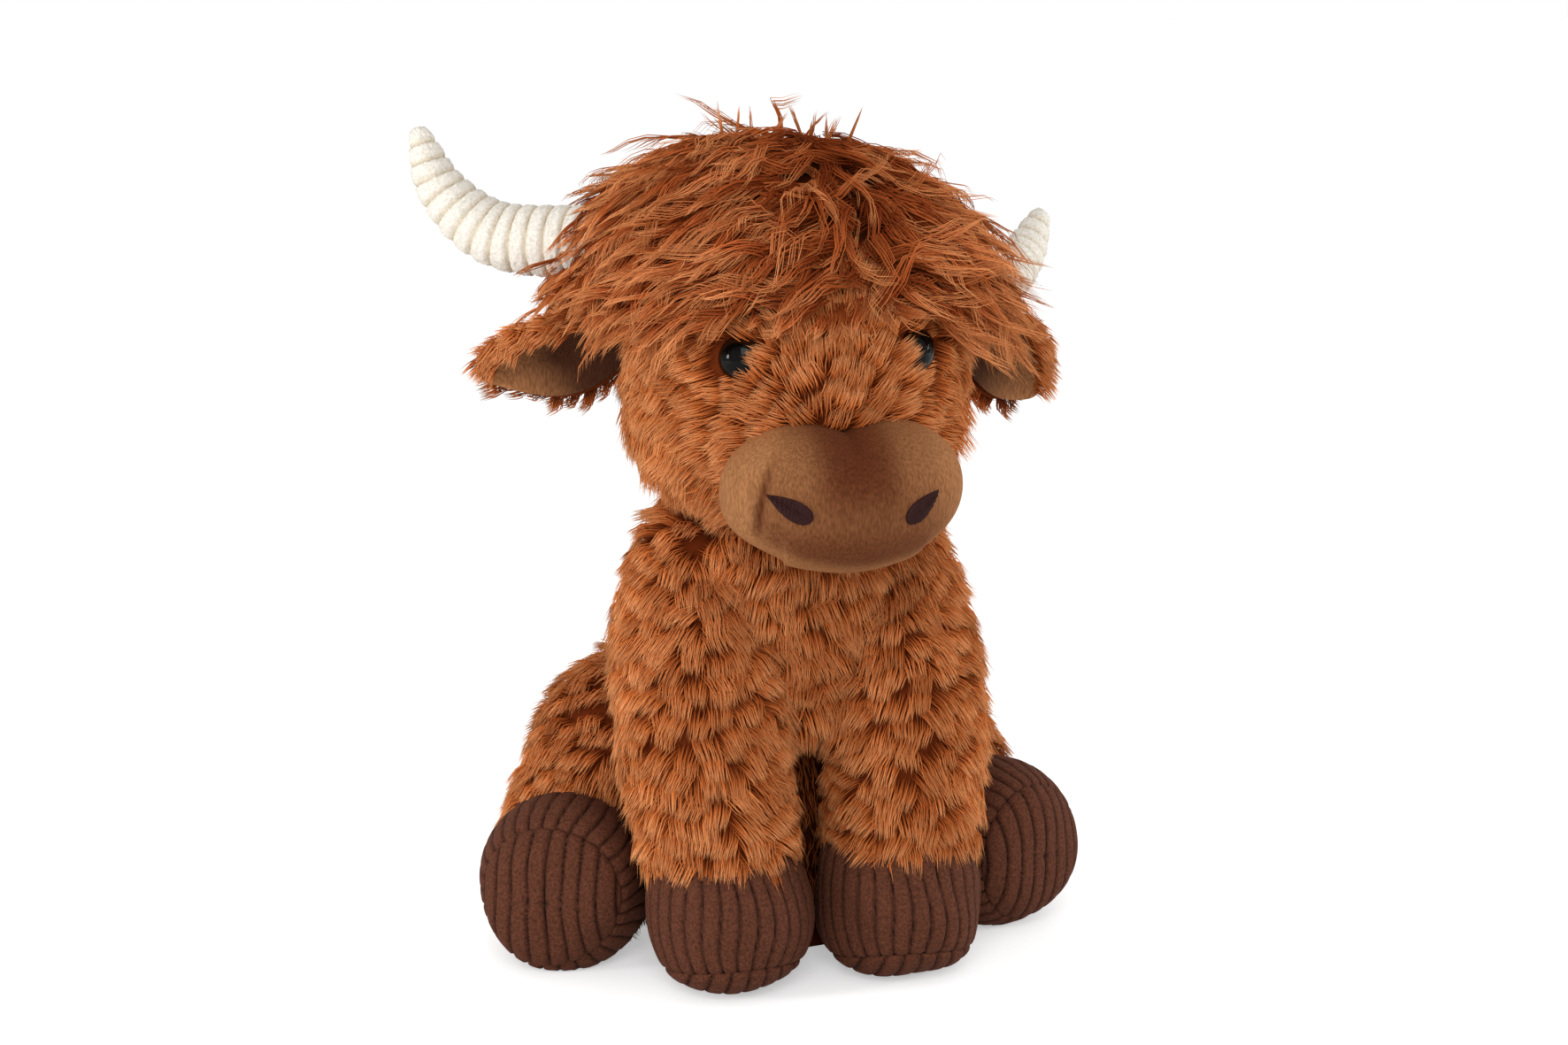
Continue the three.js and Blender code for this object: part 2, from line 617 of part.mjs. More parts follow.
// Front legs: hung from the shoulders, with the hooves set a little forward
SIDES.forEach(({ side, sign }) => {
  const shoulder = at(sign * SHOULDER_SPREAD, -SHOULDER_FORWARD, SHOULDER_RISE);
  const tilt = radians(FORE_HOOF_TILT);
  const heading = at(0, -Math.sin(tilt), -Math.cos(tilt));
  const foot = at(sign * FORE_HOOF_SPREAD, -FORE_HOOF_FORWARD, 0);
  const cuff = foot.clone().addScaledVector(heading, -FORE_HOOF_HEIGHT);
  const cuffRadius = FORE_HOOF_RADIUS + CUFF_PROUD;
  const leg = new StuffedForm({
    points: [
      shoulder.clone().addScaledVector(UP, SHOULDER_RADIUS),
      shoulder,
      shoulder.clone().lerp(cuff, 0.55).add(at(sign * FORELEG_BULGE, -FORELEG_BULGE, 0)),
      cuff,
      cuff.clone().addScaledVector(heading, CUFF_TUCK),
    ],
    across: ACROSS,
    girths: [
      [0, SHOULDER_RADIUS, SHOULDER_RADIUS],
      [0.5, FORELEG_RADIUS, FORELEG_RADIUS],
      [1, cuffRadius, cuffRadius],
    ],
    blunt: [2.2, 5],
    facets: [14, 9],
    coreFacets: [10, 6],
  });
  const seamTurn = radians(sign > 0 ? -SHOULDER_SEAM_TURN : 180 + SHOULDER_SEAM_TURN);
  const seamTop = bodyForm.point(1 - SHOULDER_SEAM_DROP / BODY_HEIGHT, seamTurn);
  const forward = ACROSS.clone().negate();
  const travel = [FORELEG_SWING / 6, FORELEG_SWING / 2, FORELEG_SWING];
  legPieces(hinged(toy, seamTop, forward, [0, FORELEG_SWING]), 'front', side, {
    leg,
    hoof: hoofForm(cuff, foot.clone().addScaledVector(heading, FLOOR_FLAT), heading, FORE_HOOF_RADIUS),
    cuff,
    seam: foot.clone().addScaledVector(heading, -SOLE_DEPTH),
    heading,
    socket: [bodyClear, ...met(bodyPassing, seamTop, forward, travel)],
  });
});

// Rear legs: thighs against the seat, with the hooves out to the front corners
SIDES.forEach(({ side, sign }) => {
  const turn = radians(sign > 0 ? HIP_TURN : 180 - HIP_TURN);
  const hip = bodyForm.point(HIP_RISE / BODY_HEIGHT, turn);
  const away = radians(REAR_HOOF_TURN);
  const heading = at(sign * Math.sin(away), -Math.cos(away), 0);
  const middle = at(sign * REAR_HOOF_SPREAD, -REAR_HOOF_FORWARD, REAR_HOOF_RADIUS - FLOOR_FLAT);
  const cuff = middle.clone().addScaledVector(heading, -REAR_HOOF_LENGTH / 2);
  const toe = middle.clone().addScaledVector(heading, REAR_HOOF_LENGTH / 2);
  const cuffRadius = REAR_HOOF_RADIUS + CUFF_PROUD;
  const leg = new StuffedForm({
    points: [
      hip.clone().addScaledVector(heading, -HIP_SUNK),
      hip.clone().lerp(cuff, 0.35),
      cuff,
      cuff.clone().addScaledVector(heading, CUFF_TUCK),
    ],
    across: ACROSS,
    girths: [
      [0, HIP_RADIUS, HIP_RADIUS],
      [0.5, THIGH_RADIUS, THIGH_RADIUS],
      [1, cuffRadius, cuffRadius],
    ],
    blunt: [2.2, 5],
    facets: [14, 9],
    coreFacets: [10, 6],
  });
  const seamTurn = radians(sign > 0 ? HIP_SEAM_TURN : 180 - HIP_SEAM_TURN);
  const seamBack = bodyForm.point(HIP_RISE / BODY_HEIGHT, seamTurn);
  const outward = UP.clone().multiplyScalar(sign);
  const travel = [REAR_LEG_SPLAY / 2, REAR_LEG_SPLAY];
  legPieces(hinged(toy, seamBack, outward, [0, REAR_LEG_SPLAY]), 'rear', side, {
    leg,
    hoof: hoofForm(cuff, toe, heading, REAR_HOOF_RADIUS),
    cuff,
    seam: toe.clone().addScaledVector(heading, -SOLE_DEPTH),
    heading,
    socket: [bodyClear, ...met(bodyPassing, seamBack, outward, travel)],
  });
});

// Tail: a short fur stub with a long tuft that lies on the floor
const tailRoot = bodyForm.point(TAIL_RISE / BODY_HEIGHT, radians(90));
const tailEnd = tailRoot.clone().add(at(0, TAIL_RADIUS * 1.2, -TAIL_DROP));
const tailForm = new StuffedForm({
  points: [
    tailRoot.clone().addScaledVector(BACK, -TAIL_RADIUS),
    tailRoot.clone().addScaledVector(BACK, TAIL_RADIUS / 2),
    tailEnd,
  ],
  across: ACROSS,
  girths: [[0, TAIL_RADIUS, TAIL_RADIUS], [1, TAIL_RADIUS, TAIL_RADIUS]],
  blunt: [2.4, 2.4],
  facets: [10, 7],
});
const tuftForm = new StuffedForm({
  points: [
    tailEnd.clone().addScaledVector(UP, TAIL_RADIUS / 2),
    at(0, tailEnd.y + TUFT_LENGTH / 3, TUFT_RADIUS),
    at(0, tailEnd.y + TUFT_LENGTH, TUFT_RADIUS),
  ],
  across: ACROSS,
  girths: [
    [0, TAIL_RADIUS, TAIL_RADIUS],
    [0.45, TUFT_RADIUS, TUFT_RADIUS],
    [1, TUFT_RADIUS / 2, TUFT_RADIUS / 2],
  ],
  blunt: [2.2, 2],
  facets: [10, 8],
});
const tail = hinged(toy, tailRoot, UP, [-TAIL_SWING, TAIL_SWING]);
const tailSeat = [bodyClear, ...met(bodyPassing, tailRoot, UP, [-TAIL_SWING, TAIL_SWING])];
const tuftFloor = beyond(at(0, 0, FIT), DOWN);
const tuft = without(tuftForm.solid(), tailSeat, tailForm.solid(FIT), tuftFloor);
piece(tail, 'tail', without(tailForm.solid(), tailSeat), COLOURS.fur);
piece(tail, 'tail_tuft', tuft, COLOURS.hair);

export default toy;
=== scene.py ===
# %% [markdown]
# # A sitting plush yak
# The toy sits on a flat seat with its front legs down and its rear legs out to the corners. Short brown fur
# covers the body, legs and head, long wavy hair covers the crown, the muzzle and ears are velour, and the
# horns and hooves are wide corduroy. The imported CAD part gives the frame: its pieces stay where they are,
# and every surface below is worked out in that frame, in millimetres, and stored in metres.

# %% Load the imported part
import math

import bpy
import numpy as np
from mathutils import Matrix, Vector


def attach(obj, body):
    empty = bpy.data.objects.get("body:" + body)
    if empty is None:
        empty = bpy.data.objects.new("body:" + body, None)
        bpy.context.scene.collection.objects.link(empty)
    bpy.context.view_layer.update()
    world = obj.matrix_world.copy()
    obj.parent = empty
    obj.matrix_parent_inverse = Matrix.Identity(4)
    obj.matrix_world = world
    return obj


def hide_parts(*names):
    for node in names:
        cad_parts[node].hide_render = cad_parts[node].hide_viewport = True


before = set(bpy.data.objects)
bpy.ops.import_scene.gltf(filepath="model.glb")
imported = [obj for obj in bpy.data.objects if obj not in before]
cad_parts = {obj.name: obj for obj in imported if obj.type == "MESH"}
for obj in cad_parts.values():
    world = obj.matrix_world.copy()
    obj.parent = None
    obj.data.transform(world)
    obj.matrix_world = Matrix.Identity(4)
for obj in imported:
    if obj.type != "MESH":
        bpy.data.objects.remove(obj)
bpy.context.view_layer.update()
MM = 0.001
SIDES = (("right", -1), ("left", 1))
UP = np.array([0.0, 0.0, 1.0])
BACK = np.array([0.0, 1.0, 0.0])
ACROSS = np.array([1.0, 0.0, 0.0])

# %% [markdown]
# ## Stuffed forms
# A stuffed limb is a sphere stretched along a path, swelling and tapering with its girth and more or less
# blunt at its ends. The same formula shaped the CAD solids, so a surface worked out here lies on them, or
# under them by the depth of the pile. Lofting sections or sculpting would also do, but a formula gives two
# parameters on every point, and fur, wales and seams can then be laid along them.

# %% Smooth paths
STEPS = np.linspace(0, 1, 161)


def unit(vectors):
    """Each vector divided by its own length."""
    return vectors / np.maximum(np.linalg.norm(vectors, axis=-1, keepdims=True), 1e-9)


def smooth_line(points):
    """A smooth line through the points, sampled at equal steps of its length.

    Between two points it is the cubic whose end slopes are the chord before, less the chord across,
    plus the chord after, each over the square root of its length (a centripetal Catmull-Rom curve).
    """
    points = np.asarray(points, float)
    points = np.vstack([2 * points[0] - points[1], points, 2 * points[-1] - points[-2]])
    gaps = np.sqrt(np.linalg.norm(np.diff(points, axis=0), axis=1))[:, None]
    chords = np.diff(points, axis=0) / gaps
    slopes = chords[:-1] + chords[1:] - (points[2:] - points[:-2]) / (gaps[1:] + gaps[:-1])
    t = np.linspace(0, 1, 60)[None, :, None]
    start, stop = points[1:-2, None], points[2:-1, None]
    leave, arrive = (slopes[:-1] * gaps[1:-1])[:, None], (slopes[1:] * gaps[1:-1])[:, None]
    curve = (start * (1 - t) ** 2 * (1 + 2 * t) + leave * t * (1 - t) ** 2
             + stop * t ** 2 * (3 - 2 * t) - arrive * t ** 2 * (1 - t)).reshape(-1, 3)
    length = np.append(0, np.cumsum(np.linalg.norm(np.diff(curve, axis=0), axis=1)))
    return read(curve, length / length[-1], STEPS), length[-1]


def read(table, shares, at):
    """The rows of a table, interpolated where its shares equal the numbers asked for."""
    return np.stack([np.interp(at, shares, column) for column in np.asarray(table).T], axis=-1)


quarter = np.radians([0, 30, 60, 90])
_, arc = smooth_line(np.stack([10 * np.cos(quarter), 10 * np.sin(quarter), 0 * quarter], axis=1))
print("a quarter circle of radius 10 through 4 points:", round(arc, 2), "long, and exactly 15.71")


# %% Stuffed forms
class Form:
    """A sphere stretched along a smooth path, with a half width and half depth at each share of it."""

    def __init__(self, points, across, girths, blunt):
        self.path, self.length = smooth_line(points)
        self.tangent = unit(np.gradient(self.path, axis=0))
        self.wide = unit(across - self.tangent * (self.tangent @ across)[:, None])
        self.deep = np.cross(self.tangent, self.wide)
        girths = np.asarray(girths, float)
        share, sizes = girths[:, 0], girths[:, 1:]
        slope = np.gradient(sizes, share, axis=0)
        i = np.clip(np.searchsorted(share, STEPS) - 1, 0, len(share) - 2)
        gap = (share[i + 1] - share[i])[:, None]
        t = (STEPS[:, None] - share[i][:, None]) / gap
        self.girth = (sizes[i] * (1 - t) ** 2 * (1 + 2 * t) + slope[i] * gap * t * (1 - t) ** 2
                      + sizes[i + 1] * t ** 2 * (3 - 2 * t) - slope[i + 1] * gap * t ** 2 * (1 - t))
        self.blunt = blunt

    def polar(self, share):
        """The polar angle at a share of the length: the angle whose cosine is 1 - 2 share, made blunt."""
        half = 1 - 2 * np.asarray(share, float)
        power = np.where(half > 0, self.blunt[0], self.blunt[1]) / 2
        return np.arccos(np.clip(np.sign(half) * np.abs(half) ** power, -1, 1))

    def share(self, polar):
        """The share of the length at a polar angle, and how round the form is there, from 0 to 1."""
        lean = np.cos(polar)
        power = 2 / np.where(lean > 0, self.blunt[0], self.blunt[1])
        return ((1 - np.sign(lean) * np.abs(lean) ** power) / 2,
                np.maximum(0, 1 - lean ** 2) ** (power / 2))

    def at(self, polar, turn, skin=0.0):
        """The surface point at a polar angle and a turn, with skin laid on or taken off.

        It is the path's point, plus the half width times cos(turn) across and the half depth times
        sin(turn) on the third axis, both times the roundness, which falls to 0 at the poles.
        """
        polar, turn = np.broadcast_arrays(polar, turn)
        share, around = self.share(polar)
        half = (read(self.girth, STEPS, share) + np.asarray(skin)[..., None]) * around[..., None]
        return (read(self.path, STEPS, share)
                + read(self.tangent, STEPS, share) * (np.asarray(skin) * (2 * share - 1))[..., None]
                + read(self.wide, STEPS, share) * half[..., :1] * np.cos(turn)[..., None]
                + read(self.deep, STEPS, share) * half[..., 1:] * np.sin(turn)[..., None])

    def depth(self, points):
        """How far out of the form each point lies: 0 on its path, 1 on its surface, more outside it."""
        nearest = np.argmin(((points[:, None] - self.path[None, ::4]) ** 2).sum(-1), axis=1) * 4
        _, around = self.share(self.polar(STEPS[nearest]))
        away = points - self.path[nearest]
        sides = np.stack([(away * self.wide[nearest]).sum(-1), (away * self.deep[nearest]).sum(-1)], -1)
        return np.linalg.norm(sides / self.girth[nearest], axis=-1) / np.maximum(around, 1e-3)


ball = Form([(0, 0, -10), (0, 0, 10)], ACROSS, [(0, 10, 10), (1, 10, 10)], (2, 2))
print("a form with no blunt ends is a ball:", ball.at(np.radians(45), 0.0).round(2))

# %% [markdown]
# The sizes are those of the CAD, in millimetres, and pairs of sizes are half widths and half depths. A fur
# skin lies 6.2 mm under the CAD surface, so that the tips of the fur, which bend over, reach about to it.
# The sizes could be read off the CAD meshes, but written out they also say how the toy is cut.

# %% Body, head and muzzle
PILE = 6.2
BODY_HEIGHT = 186
BELLY_RISE, BELLY_FORWARD, NECK_FORWARD = 84, 8, 23
SEAT, BELLY, NECK = (60, 51), (54, 50), (51, 51)
CHIN, HEAD_HEIGHT = 166, 126
HEAD_FORWARD, CROWN_FORWARD = 35, 28
HEAD, CHEEKS, CROWN = (63, 57), (61, 52), (53, 48)
MUZZLE_HALF_WIDTH = 40.5
MUZZLE_LOBE, MUZZLE_WAIST, MUZZLE_END = (26, 27), (24, 27), (24, 23)
MUZZLE_FRONT, MUZZLE_RISE, MUZZLE_ASIDE = -101.9, 184, 2.5
MUZZLE_BOW, MUZZLE_DIP = 13.5, 4

body = Form([(0, 0, 0.3), (0, -BELLY_FORWARD, BELLY_RISE), (0, -NECK_FORWARD, BODY_HEIGHT)], ACROSS,
            [(0, *SEAT), (0.25, *SEAT), (0.55, *BELLY), (1, *NECK)], (4.5, 4.5))
head = Form([(0, -HEAD_FORWARD, CHIN), (0, -HEAD_FORWARD, CHIN + HEAD_HEIGHT / 2),
             (0, -CROWN_FORWARD, CHIN + HEAD_HEIGHT)], ACROSS,
            [(0, *CHEEKS), (0.4, *HEAD), (0.6, *HEAD), (1, *CROWN)], (3, 2.2))
lobes = np.array([-1, -0.5, 0, 0.5, 1])
muzzle = Form(np.stack([MUZZLE_ASIDE + lobes * MUZZLE_HALF_WIDTH,
                        MUZZLE_FRONT + MUZZLE_LOBE[1] - MUZZLE_BOW * (1 - lobes ** 2),
                        MUZZLE_RISE - MUZZLE_DIP / 2 * np.cos(2 * np.pi * lobes)], axis=1), UP,
              [(0, *MUZZLE_END), (0.3, *MUZZLE_LOBE), (0.5, *MUZZLE_WAIST), (0.7, *MUZZLE_LOBE),
               (1, *MUZZLE_END)], (2.3, 2.3))
print("lengths in mm: body", round(body.length), "head", round(head.length), "muzzle", round(muzzle.length))

# %% Legs
CUFF_TUCK = 15
SLEEVE_ENDS, HOOF_ENDS = (2.2, 5), (2.6, 3)
SHOULDER, FRONT_FOOT = (36, -28, 142), (32, -66, 0)
SLEEVE, FRONT_HOOF, FRONT_HOOF_HEIGHT, FRONT_HOOF_TILT = (33, 32.5, 32), 29.5, 44, 12
HIP_RISE, HIP_TURN, HIP_SUNK = 80, 46, 26
THIGH, REAR_HOOF, REAR_HOOF_LENGTH, REAR_HOOF_TURN = (41, 37, 33.5), 31, 46, 28
REAR_FOOT = (86, -23, 30.5)


def mirrored(place, sign):
    """A place given for the toy's left, with its way across turned over for the right."""
    return np.array([sign * place[0], place[1], place[2]], float)


def girths(radii):
    """Round girths at equal shares of a form's length."""
    return [(share, radius, radius) for share, radius in zip(np.linspace(0, 1, len(radii)), radii)]


def front_leg_forms(sign):
    """The sleeve and the hoof of a front leg, its cuff and the way that the hoof points."""
    tilt = math.radians(FRONT_HOOF_TILT)
    heading = np.array([0, -math.sin(tilt), -math.cos(tilt)])
    shoulder = mirrored(SHOULDER, sign)
    foot = mirrored(FRONT_FOOT, sign)
    cuff = foot - FRONT_HOOF_HEIGHT * heading
    middle = shoulder + 0.55 * (cuff - shoulder) + mirrored((3, -3, 0), sign)
    leg = Form([shoulder + SLEEVE[0] * UP, shoulder, middle, cuff, cuff + CUFF_TUCK * heading], ACROSS,
               girths(SLEEVE), SLEEVE_ENDS)
    hoof = Form([cuff - CUFF_TUCK * heading, foot + 0.5 * heading], ACROSS, girths([FRONT_HOOF] * 2),
                HOOF_ENDS)
    return leg, hoof, cuff, heading


def rear_leg_forms(sign):
    """The sleeve and the hoof of a rear leg, its cuff and the way that the hoof points."""
    hip_turn = math.radians(HIP_TURN if sign > 0 else 180 - HIP_TURN)
    hip = body.at(body.polar(HIP_RISE / BODY_HEIGHT), hip_turn)
    away = math.radians(REAR_HOOF_TURN)
    heading = np.array([sign * math.sin(away), -math.cos(away), 0])
    middle = mirrored(REAR_FOOT, sign)
    cuff = middle - REAR_HOOF_LENGTH / 2 * heading
    toe = middle + REAR_HOOF_LENGTH / 2 * heading
    leg = Form([hip - HIP_SUNK * heading, hip + 0.35 * (cuff - hip), cuff, cuff + CUFF_TUCK * heading],
               ACROSS, girths(THIGH), SLEEVE_ENDS)
    hoof = Form([cuff - CUFF_TUCK * heading, toe], ACROSS, girths([REAR_HOOF] * 2), HOOF_ENDS)
    return leg, hoof, cuff, heading


legs = {("front", side): front_leg_forms(sign) for side, sign in SIDES}
legs |= {("rear", side): rear_leg_forms(sign) for side, sign in SIDES}
print("sleeves in mm:", [round(leg.length) for leg, *_ in legs.values()])

# %% Horns and tail
HORN_RISE, HORN_RADII = 103, (14, 12.5, 8.5)
HORN_SWEEP = {"right": 28, "left": 42}
HORN_DROOP = {"right": 0, "left": 24}
HORN_OUT = np.array([-12, 36, 63, 81, 90.0])
HORN_LIFT = np.array([0, -3, 0, 14.8, 37])
TAIL_RISE, TAIL_RADIUS = 44, 10


def horn_form(side, sign):
    """A horn's tapering form: out from the crown, level at first, then curling up."""
    sweep = math.radians(HORN_SWEEP[side])
    droop = math.radians(HORN_DROOP[side])
    root = head.at(head.polar(HORN_RISE / HEAD_HEIGHT), 0.0 if sign > 0 else math.pi)
    reach = HORN_OUT * math.cos(droop) + HORN_LIFT * math.sin(droop)
    lift = HORN_LIFT * math.cos(droop) - HORN_OUT * math.sin(droop)
    points = root + np.stack([sign * reach * math.cos(sweep), reach * math.sin(sweep), lift], axis=1)
    return Form(points, UP, girths(HORN_RADII), (3, 2.5))


horns = {side: horn_form(side, sign) for side, sign in SIDES}
tail_root = body.at(body.polar(TAIL_RISE / BODY_HEIGHT), math.pi / 2)
tail_end = tail_root + np.array([0, 12, -25])
tail = Form([tail_root - 10 * BACK, tail_root + 5 * BACK, tail_end], ACROSS,
            girths([TAIL_RADIUS] * 2), (2.4, 2.4))
print("horns in mm:", [round(form.length) for form in horns.values()], "tail:", round(tail.length))

# %% [markdown]
# ## Meshes
# Two builders make every piece. A skin is a grid of points closed at two poles. Threads are thin tapered
# spikes along many lines at once, three-sided and closed, and they make the fur, the hair and the tuft.
# Both give each face a place on a map: a skin's map is its grid, and a thread's is its tone across and the
# way from root to tip along, so that one material can shade every thread. Hair curves would be lighter, but
# only meshes are kept in the export.

# %% Skins
def fill_mesh(name, points, corners, sides, spots, material):
    """A mesh object from points in millimetres, flat lists of corners and of sides per face, and a map."""
    mesh = bpy.data.meshes.new(name)
    mesh.vertices.add(len(points))
    mesh.vertices.foreach_set("co", (np.asarray(points) * MM).astype(np.float32).ravel())
    mesh.loops.add(len(corners))
    mesh.loops.foreach_set("vertex_index", corners.astype(np.int32))
    mesh.polygons.add(len(sides))
    mesh.polygons.foreach_set("loop_start", (np.cumsum(sides) - sides).astype(np.int32))
    mesh.uv_layers.new(name="OFBake").data.foreach_set("uv", spots.astype(np.float32).ravel())
    mesh.update(calc_edges=True)
    mesh.polygons.foreach_set("use_smooth", np.ones(len(sides), bool))
    mesh.materials.append(material)
    piece = bpy.data.objects.new(name, mesh)
    bpy.context.collection.objects.link(piece)
    return piece


def skin_piece(name, grid, material, **marks):
    """A closed skin over a grid of rows and columns, whose first and last rows are single points.

    Each mark is a number per grid point, kept as an attribute that the material can read.
    """
    rows, cols = grid.shape[:2]
    row, col = (a.ravel() for a in np.meshgrid(np.arange(rows - 1), np.arange(cols), indexing="ij"))

    def spot(r, c):
        """The number of the point at a row and a column, where each pole is one point."""
        inner = 1 + (r - 1) * cols + c % cols
        return np.where(r == 0, 0, np.where(r == rows - 1, 1 + (rows - 2) * cols, inner))

    ring = np.stack([np.stack([row, col]), np.stack([row + 1, col]),
                     np.stack([row + 1, col + 1]), np.stack([row, col + 1])])
    quads = spot(ring[:, 0], ring[:, 1]).T
    uv = np.stack([ring[:, 1].T / cols, ring[:, 0].T / (rows - 1)], axis=-1)
    keep = np.ones(quads.shape, bool)
    keep[row == 0, 3] = False
    keep[row == rows - 2, 1] = False
    uv[row == 0, 0, 0] += 0.5 / cols
    uv[row == rows - 2, 2, 0] -= 0.5 / cols
    points = np.vstack([grid[0, :1], grid[1:-1].reshape(-1, 3), grid[-1, :1]])
    a, b, c = points[quads[:, 0]], points[quads[:, 1]], points[quads[:, 2]]
    if (a * np.cross(b, c)).sum() < 0:
        quads, uv, keep = quads[:, ::-1], uv[:, ::-1], keep[:, ::-1]
    piece = fill_mesh(name, points, quads[keep], keep.sum(1), uv[keep], material)
    for mark, values in marks.items():
        flat = np.concatenate([values[0, :1], values[1:-1].ravel(), values[-1, :1]])
        piece.data.attributes.new(mark, "FLOAT", "POINT").data.foreach_set("value", flat.astype(np.float32))
    return piece


print("a skin of 3 x 4 points has", 2 * 4, "faces")


# %% Threads
def thread_piece(name, lines, radii, tone, outward, material, seed):
    """Closed three-sided spikes along lines (threads, points, 3), with a radius at each point but the last.

    A ring's corners are the line's point plus the radius times the cosine and sine of thirds of a turn,
    along two axes square to the line. The shading normals lean to the outward side of the whole pile, so
    that the pile takes the light as one soft surface.
    """
    threads, count = lines.shape[:2]
    lines = np.concatenate([lines[..., :2], np.maximum(lines[..., 2:], 0.7)], axis=-1)
    along = unit(np.gradient(lines, axis=1))
    side = unit(np.cross(along, np.random.default_rng(seed).normal(size=(threads, 1, 3))))
    third = np.arange(3) * 2 * np.pi / 3
    ring = (side[:, :-1, None] * np.cos(third)[:, None]
            + np.cross(along, side)[:, :-1, None] * np.sin(third)[:, None])
    points = lines[:, :-1, None] + ring * np.asarray(radii)[:, None, None]
    points = np.concatenate([points.reshape(threads, -1, 3), lines[:, -1:]], axis=1)
    shading = np.concatenate([ring.reshape(threads, -1, 3), along[:, -1:] * 0], axis=1)
    shading = unit(shading + 0.65 * outward[:, None])
    low = np.arange(count - 2)[:, None] * 3 + np.arange(3)
    low_next = np.arange(count - 2)[:, None] * 3 + (np.arange(3) + 1) % 3
    walls = np.stack([low, low_next, low_next + 3, low + 3], axis=-1).reshape(-1)
    last = (count - 2) * 3 + np.arange(3)
    last_next = (count - 2) * 3 + (np.arange(3) + 1) % 3
    cap = np.stack([last, last_next, np.full(3, (count - 1) * 3)], axis=-1).reshape(-1)
    corners = np.concatenate([[2, 1, 0], walls, cap])
    sides = np.concatenate([[3], np.full(3 * (count - 2), 4), np.full(3, 3)])
    way = np.minimum(corners // 3, count - 1) / (count - 1)
    slip = (corners % 3) * 0.004
    spots = np.stack([np.broadcast_to(tone[:, None], (threads, len(corners))) + slip,
                      np.broadcast_to(0.03 + 0.94 * way, (threads, len(corners)))], axis=-1)
    corners = corners[None] + np.arange(threads)[:, None] * points.shape[1]
    piece = fill_mesh(name, points.reshape(-1, 3), corners.ravel(), np.tile(sides, threads),
                      spots.reshape(-1, 2), material)
    piece.data.normals_split_custom_set_from_vertices(shading.reshape(-1, 3))
    return piece


print("a thread of 3 points has", 6 * 2 - 2, "triangles")

# %% [markdown]
# ## Materials
# Each fabric is one short node tree that reads the piece's own map, its marks or its own coordinates, so
# that a pattern follows the cloth and stays on it when the toy moves. Photographs of cloth could be used as
# textures, but a formula has no edge and no fixed size.

# %% Node helpers
def new_material(name, roughness, sheen=0.0, sheen_colour=(1, 1, 1)):
    """A material with its shader's plain values set; returns it, its node tree and the shader."""
    material = bpy.data.materials.new(name)
    material.use_nodes = True
    tree = material.node_tree
    shader = tree.nodes["Principled BSDF"]
    shader.inputs["Roughness"].default_value = roughness
    shader.inputs["Sheen Weight"].default_value = sheen
    shader.inputs["Sheen Tint"].default_value = (*sheen_colour, 1)
    shader.inputs["Sheen Roughness"].default_value = 0.5
    shader.inputs["Specular IOR Level"].default_value = 0.1
    return material, tree, shader


def linear(*colour):
    """A colour given as three sRGB numbers from 0 to 255, made linear, with alpha."""
    share = np.array(colour) / 255
    return (*np.where(share <= 0.04045, share / 12.92, ((share + 0.055) / 1.055) ** 2.4), 1)


def ramp(tree, source, stops):
    """A colour ramp through (place, colour) stops, driven by a socket; returns its colour socket."""
    node = tree.nodes.new("ShaderNodeValToRGB")
    elements = node.color_ramp.elements
    for place, _ in stops[2:]:
        elements.new(place)
    for element, (place, colour) in zip(elements, stops):
        element.position = place
        element.color = colour
    tree.links.new(source, node.inputs["Fac"])
    return node.outputs["Color"]


def multiply(tree, first, second):
    """The product of two colour sockets."""
    mix = tree.nodes.new("ShaderNodeMix")
    mix.data_type = "RGBA"
    mix.blend_type = "MULTIPLY"
    mix.inputs["Factor"].default_value = 1
    tree.links.new(first, mix.inputs["A"])
    tree.links.new(second, mix.inputs["B"])
    return mix.outputs["Result"]


print("middle grey in linear light:", round(float(linear(128, 128, 128)[0]), 3))


# %% [markdown]
# Fur and hair darken to their roots, and their tone changes from tuft to tuft. Corduroy has painted shade in
# its grooves and a painted highlight on its crests, velour is paler where its pile is brushed up and also has
# painted sheen and shade, and both have a fine nap.
# Thread, plastic and the knitted backing are plainer, and a darker copy of the backing is painted shade.

# %% Fabrics
def fur_material(name, root, middle, tip, light, dark):
    """Fur or hair: root to tip along the map, times a tone across it from dark to light."""
    material, tree, shader = new_material(name, 0.7, 0.12, tip[:3])
    shader.inputs["Specular IOR Level"].default_value = 0
    place = tree.nodes.new("ShaderNodeUVMap")
    place.uv_map = "OFBake"
    split = tree.nodes.new("ShaderNodeSeparateXYZ")
    tree.links.new(place.outputs["UV"], split.inputs["Vector"])
    length = ramp(tree, split.outputs["Y"], [(0.0, root), (0.5, middle), (1.0, tip)])
    tone = ramp(tree, split.outputs["X"], [(0.0, dark), (1.0, light)])
    tree.links.new(multiply(tree, length, tone), shader.inputs["Base Color"])
    return material


